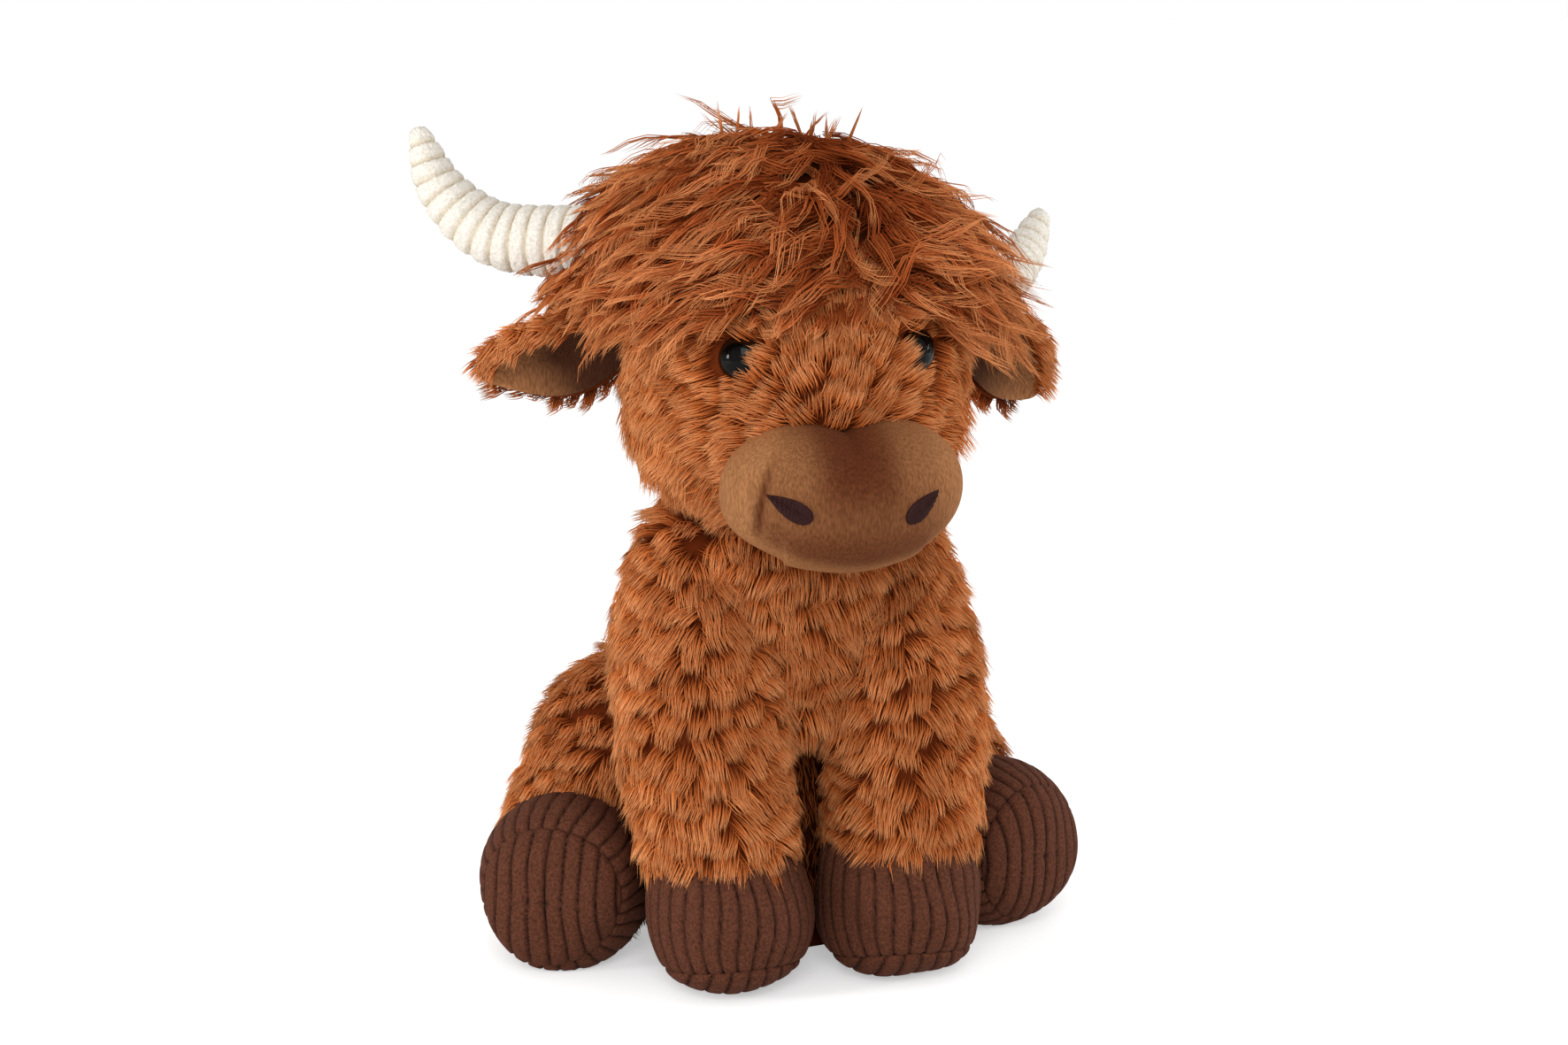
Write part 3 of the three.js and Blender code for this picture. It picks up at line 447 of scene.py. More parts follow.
def nap(tree, shader, scale, height, stretch=1.0):
    """A fine napped surface: noise over the piece's own coordinates as bump; returns the noise socket.

    The noise is longer up and down by the factor stretch, as a pile is that is brushed down.
    """
    place = tree.nodes.new("ShaderNodeTexCoord")
    shape = tree.nodes.new("ShaderNodeMapping")
    shape.inputs["Scale"].default_value = (scale, scale, scale / stretch)
    noise = tree.nodes.new("ShaderNodeTexNoise")
    noise.inputs["Scale"].default_value = 1
    noise.inputs["Detail"].default_value = 2
    bump = tree.nodes.new("ShaderNodeBump")
    bump.inputs["Strength"].default_value = 0.6
    bump.inputs["Distance"].default_value = height * MM
    tree.links.new(place.outputs["Object"], shape.inputs["Vector"])
    tree.links.new(shape.outputs["Vector"], noise.inputs["Vector"])
    tree.links.new(noise.outputs["Fac"], bump.inputs["Height"])
    tree.links.new(bump.outputs["Normal"], shader.inputs["Normal"])
    return noise.outputs["Fac"]


def corduroy_material(name, groove, wale, crest, depth):
    """Corduroy by the mark wale: painted shade in the grooves, the wale's colour up its sides and a painted
    highlight on the crest.
    """
    material, tree, shader = new_material(name, 0.9, 0.06, crest[:3])
    grain = nap(tree, shader, 1000, depth)
    mark = tree.nodes.new("ShaderNodeAttribute")
    mark.attribute_name = "wale"
    # The groove's dark colour is painted shade, and the crest's pale one a painted highlight.
    colour = ramp(tree, mark.outputs["Fac"], [(0.05, groove), (0.35, wale), (1.0, crest)])
    low = 1 - 0.6 * depth
    speck = ramp(tree, grain, [(0.3, (low, low, low, 1)), (0.7, (1.1, 1.1, 1.1, 1))])
    tree.links.new(multiply(tree, colour, speck), shader.inputs["Base Color"])
    return material


def velour_material(name, deep, pale):
    """Velour: a short pile whose shade, from deep to pale, is the mark shade, with a fine grain; the mark
    holds the pile's brushed tone and painted light and shade.
    """
    material, tree, shader = new_material(name, 0.9, 0.25, pale[:3])
    grain = nap(tree, shader, 1300, 0.8, 3.5)
    mark = tree.nodes.new("ShaderNodeAttribute")
    mark.attribute_name = "shade"
    colour = ramp(tree, mark.outputs["Fac"], [(0.0, deep), (1.0, pale)])
    speck = ramp(tree, grain, [(0.3, (0.66, 0.6, 0.54, 1)), (0.7, (1.18, 1.18, 1.18, 1))])
    tree.links.new(multiply(tree, colour, speck), shader.inputs["Base Color"])
    return material


def marked_material(name, mark_name, stops, roughness, gloss):
    """A smooth finish whose colour is a ramp over one of the piece's marks."""
    material, tree, shader = new_material(name, roughness)
    shader.inputs["Specular IOR Level"].default_value = gloss
    mark = tree.nodes.new("ShaderNodeAttribute")
    mark.attribute_name = mark_name
    tree.links.new(ramp(tree, mark.outputs["Fac"], stops), shader.inputs["Base Color"])
    return material


def plain_material(name, colour, roughness, gloss=0.1):
    """One colour."""
    material, _, shader = new_material(name, roughness)
    shader.inputs["Base Color"].default_value = colour
    shader.inputs["Specular IOR Level"].default_value = gloss
    return material


print("fabrics: fur, corduroy, velour, marked and plain")

# %% Finishes
FUR = fur_material("short_fur", linear(116, 44, 15), linear(202, 113, 57), linear(244, 174, 118),
                   (1.05, 1.05, 1.05, 1), (0.52, 0.4, 0.32, 1))
HAIR = fur_material("long_hair", linear(112, 40, 15), linear(184, 96, 49), linear(236, 162, 106),
                    (1.1, 1.1, 1.1, 1), (0.5, 0.4, 0.32, 1))
BACKING = plain_material("fur_backing", linear(98, 42, 18), 1.0, 0.0)
# The same backing painted darker, as shade: on the body for the belly between the legs, and under the hair.
SHADED_BACKING = plain_material("shaded_backing", linear(66, 28, 13), 1.0, 0.0)
# Corduroy colours: the groove is painted shade, then the wale, and the crest is a painted highlight.
HORN = corduroy_material("horn_corduroy", linear(176, 160, 134), linear(208, 196, 176),
                         linear(226, 220, 209), 0.3)
HOOF = corduroy_material("hoof_corduroy", linear(14, 7, 4), linear(62, 33, 22), linear(94, 54, 38), 0.8)
MUZZLE = velour_material("muzzle_velour", linear(80, 34, 13), linear(152, 104, 66))
# The lining's deep colour is painted shade for the hollow of the cup.
LINING = velour_material("ear_velour", linear(58, 30, 16), linear(164, 112, 72))
THREAD = plain_material("nostril_thread", linear(46, 21, 19), 0.55)
EYE = marked_material("eye_plastic", "shade", [(0.72, linear(6, 5, 4)), (0.8, linear(34, 17, 8)),
                                               (1.0, linear(48, 24, 10))], 0.05, 0.09)
WASHER = plain_material("eye_washer", linear(228, 228, 224), 0.5)
print("finishes:", [material.name for material in bpy.data.materials])

# %% [markdown]
# ## Short fur
# Faux fur is knitted in tufts that lie over each other like shingles, with dark gaps at their ends. Tuft
# roots are spread evenly over a skin, combed along a lay, and each tuft is a few dozen threads that bend
# over and draw together. A particle system would be quicker to set up, but only meshes are kept.

# %% Roots of the fur
def polar_at(steps):
    """Polar angles for steps from -1 to 1: half a turn times 1 plus the step cubed, over 2.

    They lie close about the middle, where a blunt form changes fastest.
    """
    return np.pi / 2 * (1 + steps ** 3)


PLASTIC_1, PLASTIC_2 = 0.7548776662, 0.5698402910


def spread_roots(surface, spacing, seed, rows=0.2):
    """Evenly spread spots on a surface of two angles: points, normals and the way along the form.

    The polar angles follow the area below them, and the pairs are a plane-filling sequence whose steps
    are powers of one over the plastic number, so that no two spots lie close. The spots then move by the
    share rows towards wavering rows, as the pile of the real fabric falls.
    """
    steps = np.linspace(-0.998, 0.998, 161)
    turn = np.linspace(0, 2 * np.pi, 65)
    grid = surface(polar_at(steps)[:, None], turn[None, :])
    patch = np.cross(np.diff(grid, axis=0)[:, :-1], np.diff(grid, axis=1)[:-1])
    area = np.append(0, np.cumsum(np.linalg.norm(patch, axis=-1).sum(1)))
    count = int(area[-1] / spacing ** 2)
    i = np.arange(count) + 0.5 + 7 * seed
    turn = 2 * np.pi * ((i * PLASTIC_2) % 1)
    spot = np.interp((i * PLASTIC_1) % 1, area / area[-1], steps)
    gone = np.append(0, np.cumsum(np.linalg.norm(np.diff(grid, axis=0), axis=-1).mean(1)))
    waver = spacing * (0.6 * np.sin(3 * turn + seed) + 0.4 * np.sin(7 * turn + 2 * seed))
    length = np.interp(spot, steps, gone)
    row = 1.3 * spacing * np.round((length + waver) / (1.3 * spacing)) - waver
    spot = np.interp(length + rows * (row - length), gone, steps)
    small = 2e-3
    points = surface(polar_at(spot), turn)
    along = unit(surface(polar_at(spot + small), turn) - surface(polar_at(spot - small), turn))
    around = surface(polar_at(spot), turn + small) - surface(polar_at(spot), turn - small)
    normals = unit(np.cross(around, along))
    outward = np.sign((normals * (points - points.mean(0))).sum())
    return points, normals * outward, along


print("roots on the body at 7 mm:", len(spread_roots(body.at, 7.0, 0)[0]))


# %% Tufts
def tufts(points, normals, lay, length, seed, threads=38, width=5.0, gather=0.12):
    """Lines of tufted fur: threads (tufts x threads, 3, 3), with a tone and an outward side for each.

    A tuft's threads start on an oval about its root, wide across the lay and short along it, and bend
    from 42 to 78 degrees off the normal. Those that start further on are shorter by as much, so that the
    tuft ends bluntly, like a brush. The oval shrinks by the share gather.
    """
    rng = np.random.default_rng(seed)
    count = len(points)
    lay = unit(lay - normals * (lay * normals).sum(-1, keepdims=True))
    side = np.cross(normals, lay)
    number = np.arange(threads)
    radius = width * np.sqrt((number + 0.5) / threads)
    angle = number * 2.39996 + rng.uniform(0, 2 * np.pi, (count, 1))
    ahead_by = 0.6 * radius * np.cos(angle)
    disc = ahead_by[..., None] * lay[:, None] + (radius * np.sin(angle))[..., None] * side[:, None]
    sway = rng.normal(0, 0.26, (count, 1)) + rng.normal(0, 0.07, (count, threads))
    lean = np.radians(rng.normal(0, 7, (count, 1)) + rng.normal(0, 4, (count, threads)))
    reach = (length * rng.uniform(0.85, 1.15, count))[:, None] * rng.uniform(0.84, 1.06, (count, threads))
    reach = np.maximum(reach - 0.85 * ahead_by, 4.0)
    ahead = lay[:, None] * np.cos(sway)[..., None] + side[:, None] * np.sin(sway)[..., None]

    def stretch(degrees):
        """Half of each thread: half its reach, times cos of the angle up and sin of the angle ahead."""
        bend = math.radians(degrees) + lean
        step = normals[:, None] * np.cos(bend)[..., None] + ahead * np.sin(bend)[..., None]
        return step * (reach / 2)[..., None]

    first, second = stretch(42), stretch(78)
    roots = points[:, None] + disc
    bend = roots - disc * gather * 0.4 + first
    tips = roots - disc * gather + first + second
    lines = np.stack([roots, bend, tips], axis=2)
    tone = np.clip(0.5 + rng.normal(0, 0.17, (count, 1)) + rng.normal(0, 0.14, (count, threads)), 0.01, 0.98)
    return lines.reshape(-1, 3, 3), tone.ravel(), np.repeat(normals, threads, axis=0)


print("tufts start as 3 points a thread, root, bend and tip")

# %% Pieces of fur
FUR_SPACING, FUR_LENGTH = 6.6, 13.0
FUR_RADII = (0.25, 0.22)
FACES_PER_PIECE = 190000


def fur_pieces(name, pile, body_name, seed, radii=FUR_RADII, material=FUR):
    """A pile of lines, tones and outward sides as pieces of at most FACES_PER_PIECE, riding on a body."""
    parts = math.ceil(len(pile[0]) * (6 * len(radii) - 2) / FACES_PER_PIECE)
    made = []
    for number, (lines, tone, outward) in enumerate(zip(*(np.array_split(part, parts) for part in pile))):
        label = name if parts == 1 else f"{name}_{number + 1}"
        piece = thread_piece(label, lines, radii, tone, outward, material, seed + number)
        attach(piece, body_name)
        made.append(piece)
    print(name, len(pile[0]), "threads in", parts)
    return made


print("a tuft about every", FUR_SPACING, "mm, about", FUR_LENGTH, "mm long")


# %% Stuffed pieces
def form_grid(form, rows, cols, skin):
    """A grid of points over a whole form, pole to pole."""
    polar = polar_at(np.linspace(-1, 1, rows))[:, None]
    turn = np.linspace(0, 2 * np.pi, cols, endpoint=False)[None, :]
    return form.at(polar, turn, skin)


def stuffed(piece, body_name, slot, fill, *nodes):
    """Hangs a stuffed piece on what it rides on and hides the CAD nodes that it stands for; slot, its finish,
    is not used.
    """
    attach(piece, body_name)
    if nodes:
        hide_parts(*nodes)
    return piece


def trim(piece, body_name, node):
    """Hangs a piece without filling on what it rides on and hides the CAD node that it stands for."""
    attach(piece, body_name)
    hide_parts(node)


print("a grid over the body, down to mm:", form_grid(body, 60, 84, 0.0)[..., 2].min().round(1))

# %% [markdown]
# ## Body
# The body is a bag of fur fabric, and its pile hangs from the neck to the seat. Under the legs the fur is
# pressed short and painted darker as shade, which shows only when a leg swings away. A cloth simulation could
# press the belly in between the front legs, but a formula keeps the grid that the fur stands on.

# %% Body
BELLY_TUCK, PRESSED_LENGTH = 22, 8.0
FUR_LOW, FUR_HIGH, LEGS_HIGH = 5, 178, 125


def tucked(spots):
    """How far the belly is drawn in between the front legs: BELLY_TUCK, fading above and to both sides."""
    under = np.clip((97 - spots[..., 2]) / 16, 0, 1) * np.clip((30 - np.abs(spots[..., 0])) / 12, 0, 1)
    return BELLY_TUCK * under * (spots[..., 1] < 0)


grid = form_grid(body, 60, 84, -PILE)
grid[..., 1] += tucked(grid)
grid[..., 2] = np.maximum(grid[..., 2], 2.0)
# The body's backing is the darker copy, painted shade for the belly between the front legs.
stuffed(skin_piece("body_skin", grid, SHADED_BACKING), "torso", "fur", 0.8,
        "body_cover", "body_filling", "pellet_bag")
points, normals, along = spread_roots(lambda p, t: body.at(p, t, -PILE), FUR_SPACING, 1)
covered = np.min([leg.depth(points) for leg, *_ in legs.values()], axis=0) < 0.72
shown = (points[:, 2] > FUR_LOW) & (points[:, 2] < FUR_HIGH)
keep = ~covered & shown & (tucked(points) < 4)
pile = tufts(points[keep], normals[keep], -along[keep], np.full(keep.sum(), FUR_LENGTH), 11)
pressed = ~keep & shown & (points[:, 2] < LEGS_HIGH)
deep = points[pressed] + tucked(points[pressed])[:, None] * BACK
lines, tone, outer = tufts(deep, normals[pressed], -along[pressed],
                           np.full(pressed.sum(), PRESSED_LENGTH), 13, 9, 6.0)
# The pressed tufts keep 0.3 of their tone: painted shade for the narrow gaps under the legs.
pile = [np.concatenate(pair) for pair in zip(pile, (lines, 0.3 * tone, outer))]
print("body tufts:", keep.sum(), "long and", pressed.sum(), "pressed short")
fur_pieces("body_fur", pile, "torso", 12)

# %% [markdown]
# A flat oval panel closes the body below, so that the toy sits by itself. It is a profile of radius and
# height turned about the middle and stretched to an oval. A flat disc would do, but its edge is rolled in.

# %% Seat panel
SEAT_HALF_WIDTH, SEAT_HALF_DEPTH = 45, 36
turn = np.linspace(0, 2 * np.pi, 48, endpoint=False)
profile = np.array([(0, 0.2), (0.6, 0.0), (0.95, 0.2), (1.0, 2.0), (0.9, 5.0), (0, 5.0)])
grid = np.stack([SEAT_HALF_WIDTH * profile[:, :1] * np.cos(turn),
                 SEAT_HALF_DEPTH * profile[:, :1] * np.sin(turn),
                 np.broadcast_to(profile[:, 1:], (len(profile), turn.size))], axis=-1)
stuffed(skin_piece("seat_cloth", grid, BACKING), "torso", "fur", 0.3, "seat_panel")
print("seat panel in mm:", 2 * SEAT_HALF_WIDTH, "x", 2 * SEAT_HALF_DEPTH)

# %% [markdown]
# ## Head
# The head's fur grows away from the muzzle: up the bridge of the nose, out and down over the cheeks, and
# down at the back. It is short about the eyes, and left out under the long hair and behind the muzzle. A
# comb tool could lay it by hand, but a formula for the lay stays the same however dense the fur is.

# %% Head
EYE_RISE, EYE_TURN, EYE_SPLAY, EYE_RADIUS = 63.5, 33.5, 32, 8.0
eyes = {}
for side, sign in SIDES:
    place = head.at(head.polar(EYE_RISE / HEAD_HEIGHT), math.radians(-90 + sign * EYE_TURN), -7.5)
    splay = math.radians(EYE_SPLAY)
    eyes[side] = place, np.array([sign * math.sin(splay), -math.cos(splay), 0])

stuffed(skin_piece("head_skin", form_grid(head, 36, 56, -PILE), BACKING), "head", "fur", 0.85,
        "head_cover", "head_filling")
points, normals, along = spread_roots(lambda p, t: head.at(p, t, -PILE), FUR_SPACING * 0.85, 2, 0.25)
nose = np.array([0, MUZZLE_FRONT + 10, MUZZLE_RISE])
away = unit(points - nose)
front = np.clip((-points[:, 1] - 30) / 40, 0, 1)[:, None]
aside = np.clip(np.abs(points[:, :1]) / 48, 0, 1)
lay = front * (away - UP * 1.1 * aside) + (1 - front) * (-UP + 0.3 * away)
from_eye = np.min([np.linalg.norm(points - eyes[side][0], axis=1) for side, _ in SIDES], axis=0)
cheek = aside[:, 0] * np.clip((222 - points[:, 2]) / 20, 0, 1)
inner = np.abs(points[:, 0]) < eyes["left"][0][0] - 1
clear = np.where(inner, np.where(points[:, 0] < 0, 8.2, 10.2), 8.5)
short = np.where(inner, np.where(points[:, 0] < 0, 0.8, 0.65), 0.4)
length = (12.5 + 4 * cheek) * np.clip(short + 0.6 * (from_eye - 8) / 10, 0.4, 1)
under_hair = np.where(points[:, 1] < -45, 264, 240)
keep = (muzzle.depth(points) > 0.84) & (from_eye > clear) & (points[:, 2] < under_hair)
keep &= body.depth(points) > 0.75
fur_pieces("head_fur", tufts(points[keep], normals[keep], lay[keep], length[keep], 21, 42), "head", 22)

# %% [markdown]
# ## Legs
# Each leg is a fur sleeve that ends in a ragged cuff over the corduroy hoof. On the front legs the fur parts
# along a seam down the front and lies away from it. The cuff is cut square to the hoof by moving every point
# past it back to its plane. A boolean cut would do the same, but would lose the grid.

# %% Legs
def leg_fur(end, side, sign, seed):
    """The sleeve's skin and fur, and the cuff's fringe, of one leg."""
    leg, hoof, cuff, heading = legs[end, side]
    body_name = f"{end}_{side}_leg"
    reach = float(np.interp(0, (leg.path - cuff) @ heading, STEPS))
    polar = np.append(leg.polar(np.linspace(0, reach, 30)), np.pi)[:, None]
    turn = np.linspace(0, 2 * np.pi, 48, endpoint=False)[None, :]
    grid = leg.at(polar, turn, -PILE)
    grid[-1] = cuff
    grid -= np.maximum((grid - cuff) @ heading, 0)[..., None] * heading
    grid[..., 2] = np.maximum(grid[..., 2], 1.0)
    stuffed(skin_piece(f"{end}_leg_skin_{side}", grid, BACKING), body_name, "fur", 0.8,
            f"{end}_leg_{side}", f"{end}_leg_filling_{side}")
    points, normals, along = spread_roots(lambda p, t: leg.at(p, t, -PILE), FUR_SPACING, seed)
    past = (points - cuff) @ heading
    points = points - np.maximum(past - 0.5, 0)[:, None] * heading
    keep = (past < 14) & (hoof.depth(points) > 0.9) & (body.depth(points) > 0.8) & (points[:, 2] > 4)
    keep |= (past < 0.5) & (past > -6) & (points[:, 2] > 4)
    if end == "front":
        keep &= head.depth(points) > 0.8
    points, normals, along = points[keep], normals[keep], along[keep]
    seam = unit(np.array([-0.12, -1, 0]))
    away = normals - seam * (normals @ seam)[:, None]
    whorl = np.clip(1.7 - np.linalg.norm(points - leg.path[0], axis=1) / 30, 0, 1)[:, None]
    lay = along * (1 - whorl) + (0.9 if end == "front" else 0.3) * away - (0.15 + whorl) * UP
    facing_in = np.clip(-sign * normals[:, 0] / 0.6 - 0.6, 0, 1) * (points[:, 2] < 90) * (end == "front")
    pile = tufts(points, normals, lay, FUR_LENGTH - 6 * facing_in, seed + 30)
    fur_pieces(f"{end}_leg_fur_{side}", pile, body_name, seed + 40)


LEGS = [(end, side, sign) for end in ("front", "rear") for side, sign in SIDES]
print("legs:", [f"{end} {side}" for end, side, _ in LEGS])

# %% [markdown]
# A hoof is a corduroy cup with its wales along the leg, and a corduroy sole sewn on past a seam, with its
# wales straight up. The wales are real ridges, because they show in the outline, and they wander with the
# lumps of the filling. Sewing the panels in a cloth simulation would also puff them, but its mesh would have
# to be as fine as the wales.

# %% Corduroy
WALE, WALE_HEIGHT, LUMP_HEIGHT, SEAM_TUCK = 6.4, 1.1, 2.2, 0.9
SOLE_DEPTH, HOOF_FLOOR = 9, 0.3


def wave(phase, power=6):
    """A corduroy wale's height, 0 in the groove and 1 on the crest: 1 less |2 phase - 1| to the power."""
    return 1 - np.abs(2 * (phase % 1) - 1) ** power


def lumps(share, turn, seed):
    """Slow unevenness of a filling: the mean of six sines, 1 to 3 round the form and up to 2 along it."""
    rng = np.random.default_rng(seed)
    round_it, along, phase = rng.integers(1, 4, 6), rng.uniform(2, 12, 6), rng.uniform(0, 6, 6)
    return np.mean([np.sin(r * turn + a * share + p) for r, a, p in zip(round_it, along, phase)], axis=0)


print("wales of", WALE, "mm, as high as", WALE_HEIGHT, "mm")


# %% Hooves
def hoof_upper(end, side, seam, seed):
    """The corduroy cup: wales round the form, puffed between its ends and tucked in at the seam."""
    hoof = legs[end, side][1]
    wales = round(2 * math.pi * hoof.girth[0, 0] / WALE)
    turn = np.linspace(0, 2 * np.pi, wales * 9, endpoint=False)[None, :]
    polar = np.linspace(0, hoof.polar(seam), 34)[:, None]
    share, around = hoof.share(polar)
    uneven = lumps(share, turn, seed)
    across = wave(turn * wales / (2 * np.pi) + 0.35 * uneven)
    puff = 1.2 * np.sin(np.pi * np.clip((share - 0.25) / (seam - 0.25), 0, 1)) ** 2
    tuck = SEAM_TUCK * np.clip((share - seam + 0.04) / 0.04, 0, 1) ** 2
    ridges = across * WALE_HEIGHT * np.clip(around * 2, 0, 1) - WALE_HEIGHT
    grid = hoof.at(polar, turn, ridges + puff - tuck + LUMP_HEIGHT * uneven)
    grid = np.concatenate([grid, np.broadcast_to(grid[-1].mean(0), (1, *grid.shape[1:]))])
    grid[..., 2] = np.maximum(grid[..., 2], HOOF_FLOOR)
    mark = np.vstack([np.broadcast_to(across, grid[:-1].shape[:2]), np.zeros((1, grid.shape[1]))])
    stuffed(skin_piece(f"{end}_hoof_cloth_{side}", grid, HOOF, wale=mark), f"{end}_{side}_leg",
            "hoof_corduroy", 0.85, f"{end}_hoof_{side}")
    print(f"{end} {side} hoof:", wales, "wales")


def hoof_sole(end, side, seam, seed):
    """The sole past the seam: wales by the way across it, straight up, on the same lumps as the cup."""
    _, hoof, cuff, heading = legs[end, side]
    polar = np.linspace(hoof.polar(seam), np.pi, 40)[:, None]
    turn = np.linspace(0, 2 * np.pi, 180, endpoint=False)[None, :]
    flat = hoof.at(polar, turn, 0.0)
    upright = unit(np.cross(heading, np.cross(UP, heading))) if end == "rear" else -BACK
    level = np.cross(upright, heading)
    share, around = hoof.share(polar)
    uneven = lumps(share, turn, seed) * np.clip(1.6 * around, 0, 1)
    across = wave((flat - cuff) @ level / WALE + 0.25 * uneven)
    tuck = SEAM_TUCK * np.clip((seam + 0.03 - share) / 0.03, 0, 1) ** 2
    grid = hoof.at(polar, turn, across * WALE_HEIGHT - WALE_HEIGHT - tuck + LUMP_HEIGHT * uneven)
    grid = np.concatenate([np.broadcast_to(grid[0].mean(0), (1, *grid.shape[1:])), grid])
    grid[..., 2] = np.maximum(grid[..., 2], HOOF_FLOOR)
    mark = np.vstack([np.zeros((1, grid.shape[1])), across])
    stuffed(skin_piece(f"{end}_sole_cloth_{side}", grid, HOOF, wale=mark), f"{end}_{side}_leg",
            "hoof_corduroy", 0.85, f"{end}_sole_{side}")


for number, (end, side, sign) in enumerate(LEGS):
    leg_fur(end, side, sign, 3 + number)
    hoof_length = legs[end, side][1].length
    seam = float(np.interp(hoof_length - SOLE_DEPTH, hoof_length * STEPS, STEPS))
    hoof_upper(end, side, seam, 30 + number)
    hoof_sole(end, side, seam, 30 + number)

# %% [markdown]
# ## Muzzle
# The muzzle is a bean of short velour. A pinched fold runs down its right side, from the way it was stuffed,
# and the pile is darker on the bridge and the lip and paler where it is brushed up, on the lobes and at the
# top.
# The lower rim is paler by a painted sheen, and the fold is pushed into the grid and darkened by painted
# shade.
# The shades are soft-edged bands over it.
# Painting the shades by hand would be quicker, but would need a picture.

# %% Muzzle
FOLD_DEPTH, FOLD_HALF_WIDTH = 2.8, 1.1
grid = form_grid(muzzle, 150, 160, 0.0)
x, z = grid[..., 0], grid[..., 2] - MUZZLE_RISE


def fade(distance, width):
    """1 well below 0, 0 well above it, with a soft edge of a given width."""
    return 1 / (1 + np.exp(distance / width))


crease = x + 32.2 - 0.0137 * (z + 3) ** 2
fold = np.exp(-(crease / FOLD_HALF_WIDTH) ** 2) * np.exp(-((z - 3) / 14) ** 4)
normals = unit(np.cross(np.gradient(grid, axis=0), np.gradient(grid, axis=1)))
facing = normals[..., 1] * np.sign((normals * (grid - grid.mean((0, 1)))).sum())
# The rim is a painted sheen: paler where the surface turns away from the front, below the top.
rim = np.clip((facing + 0.7) / 0.3, 0, 1) * fade(z - 6, 3)
grid += unit(BACK + 0.5 * ACROSS) * (FOLD_DEPTH * fold)[..., None]
bridge = fade(np.abs(x - 1) - 14, 2.5) * fade(1 - z, 3)
lip = fade(z + 7, 3) * fade(-z - 21 + 0.008 * (x - 4) ** 2, 0.8)
lobe = fade(crease, 0.8) + fade(31 - x, 2.0)
upper = fade(9 - z, 3) * (1 - bridge)
# The mark is the brushed pile's tone, with the rim's painted sheen and painted shade in the fold.
shade = 0.52 - 0.47 * bridge - 0.38 * lip + 0.32 * lobe + 0.2 * upper + 0.4 * rim - 0.6 * fold
shade = np.clip(shade, 0, 1)
stuffed(skin_piece("muzzle_velour", grid, MUZZLE, shade=shade), "head", "muzzle_velour", 0.8,
        "muzzle_cover", "muzzle_filling")
print("muzzle shade from", round(float(shade.min()), 2), "to", round(float(shade.max()), 2))

# %% [markdown]
# Each nostril is a satin-stitched oval, pointed at its outer end: rows of thread side by side, laid on the
# velour. It is a low dome with a ridge for each stitch, dropped onto the nearest spots of the muzzle's grid.
# Single threads would look the same from a step away, for many more faces.

# %% Nostrils
NOSTRIL_HALF_LENGTH, NOSTRIL_HALF_WIDTH, NOSTRIL_SPACING = 8.1, 3.7, 46.5
NOSTRIL_TILT = {"right": 31, "left": 36}
NOSTRIL_RISE = {"right": 1.8, "left": 0.3}
STITCHES = 9
face_grid = form_grid(muzzle, 160, 200, 0.0).reshape(-1, 3)
face_grid = face_grid[face_grid[:, 1] < MUZZLE_FRONT + 12]


def nostril(side, sign):
    """A satin-stitched oval: a low dome with a ridge per stitch, laid on the nearest spots of the velour."""
    ring = np.concatenate([np.linspace(0, 1, 16), [0.9, 0]])[:, None]
    turn = np.linspace(0, 2 * np.pi, 96, endpoint=False)[None, :]
    along = ring * np.cos(turn) * NOSTRIL_HALF_LENGTH
    across = ring * np.sin(turn) * NOSTRIL_HALF_WIDTH
    inner = -sign * along / NOSTRIL_HALF_LENGTH
    across = across * 1.25 * np.sqrt((1.05 + inner) / 2)
    tilt = math.radians(NOSTRIL_TILT[side]) * sign
    x = sign * NOSTRIL_SPACING / 2 + along * math.cos(tilt) - across * math.sin(tilt)
    z = MUZZLE_RISE + NOSTRIL_RISE[side] + along * math.sin(tilt) + across * math.cos(tilt)
    flat = np.stack([x, z], axis=-1).reshape(-1, 2)
    near = np.argmin(((flat[:, None] - face_grid[None, :, ::2]) ** 2).sum(-1), axis=1)
    ridge = 0.55 * np.abs(np.cos(np.pi * STITCHES * across / (2 * NOSTRIL_HALF_WIDTH)))
    dome = 0.9 * np.sqrt(np.clip(1 - ring ** 4, 0, 1)) + ridge * (ring < 0.97)
    dome[-2:] = -1.5
    grid = np.stack([x, face_grid[near, 1].reshape(x.shape) - dome, z], axis=-1)
    trim(skin_piece(f"nostril_stitches_{side}", grid, THREAD), "head", f"nostril_{side}")


for side, sign in SIDES:
    nostril(side, sign)
print("nostrils of", STITCHES, "stitches each")

# %% [markdown]
# ## Eyes
# The eyes are domed safety eyes of glossy black plastic, brownish at the rim, pressed through the backing
# and locked by a washer inside. A squashed sphere would pass for one, but the flat back sits on the fabric.

# %% Eyes
EYE_BACK, EYE_EDGE, EYE_DOME = 0.3, 1.3, 5.5


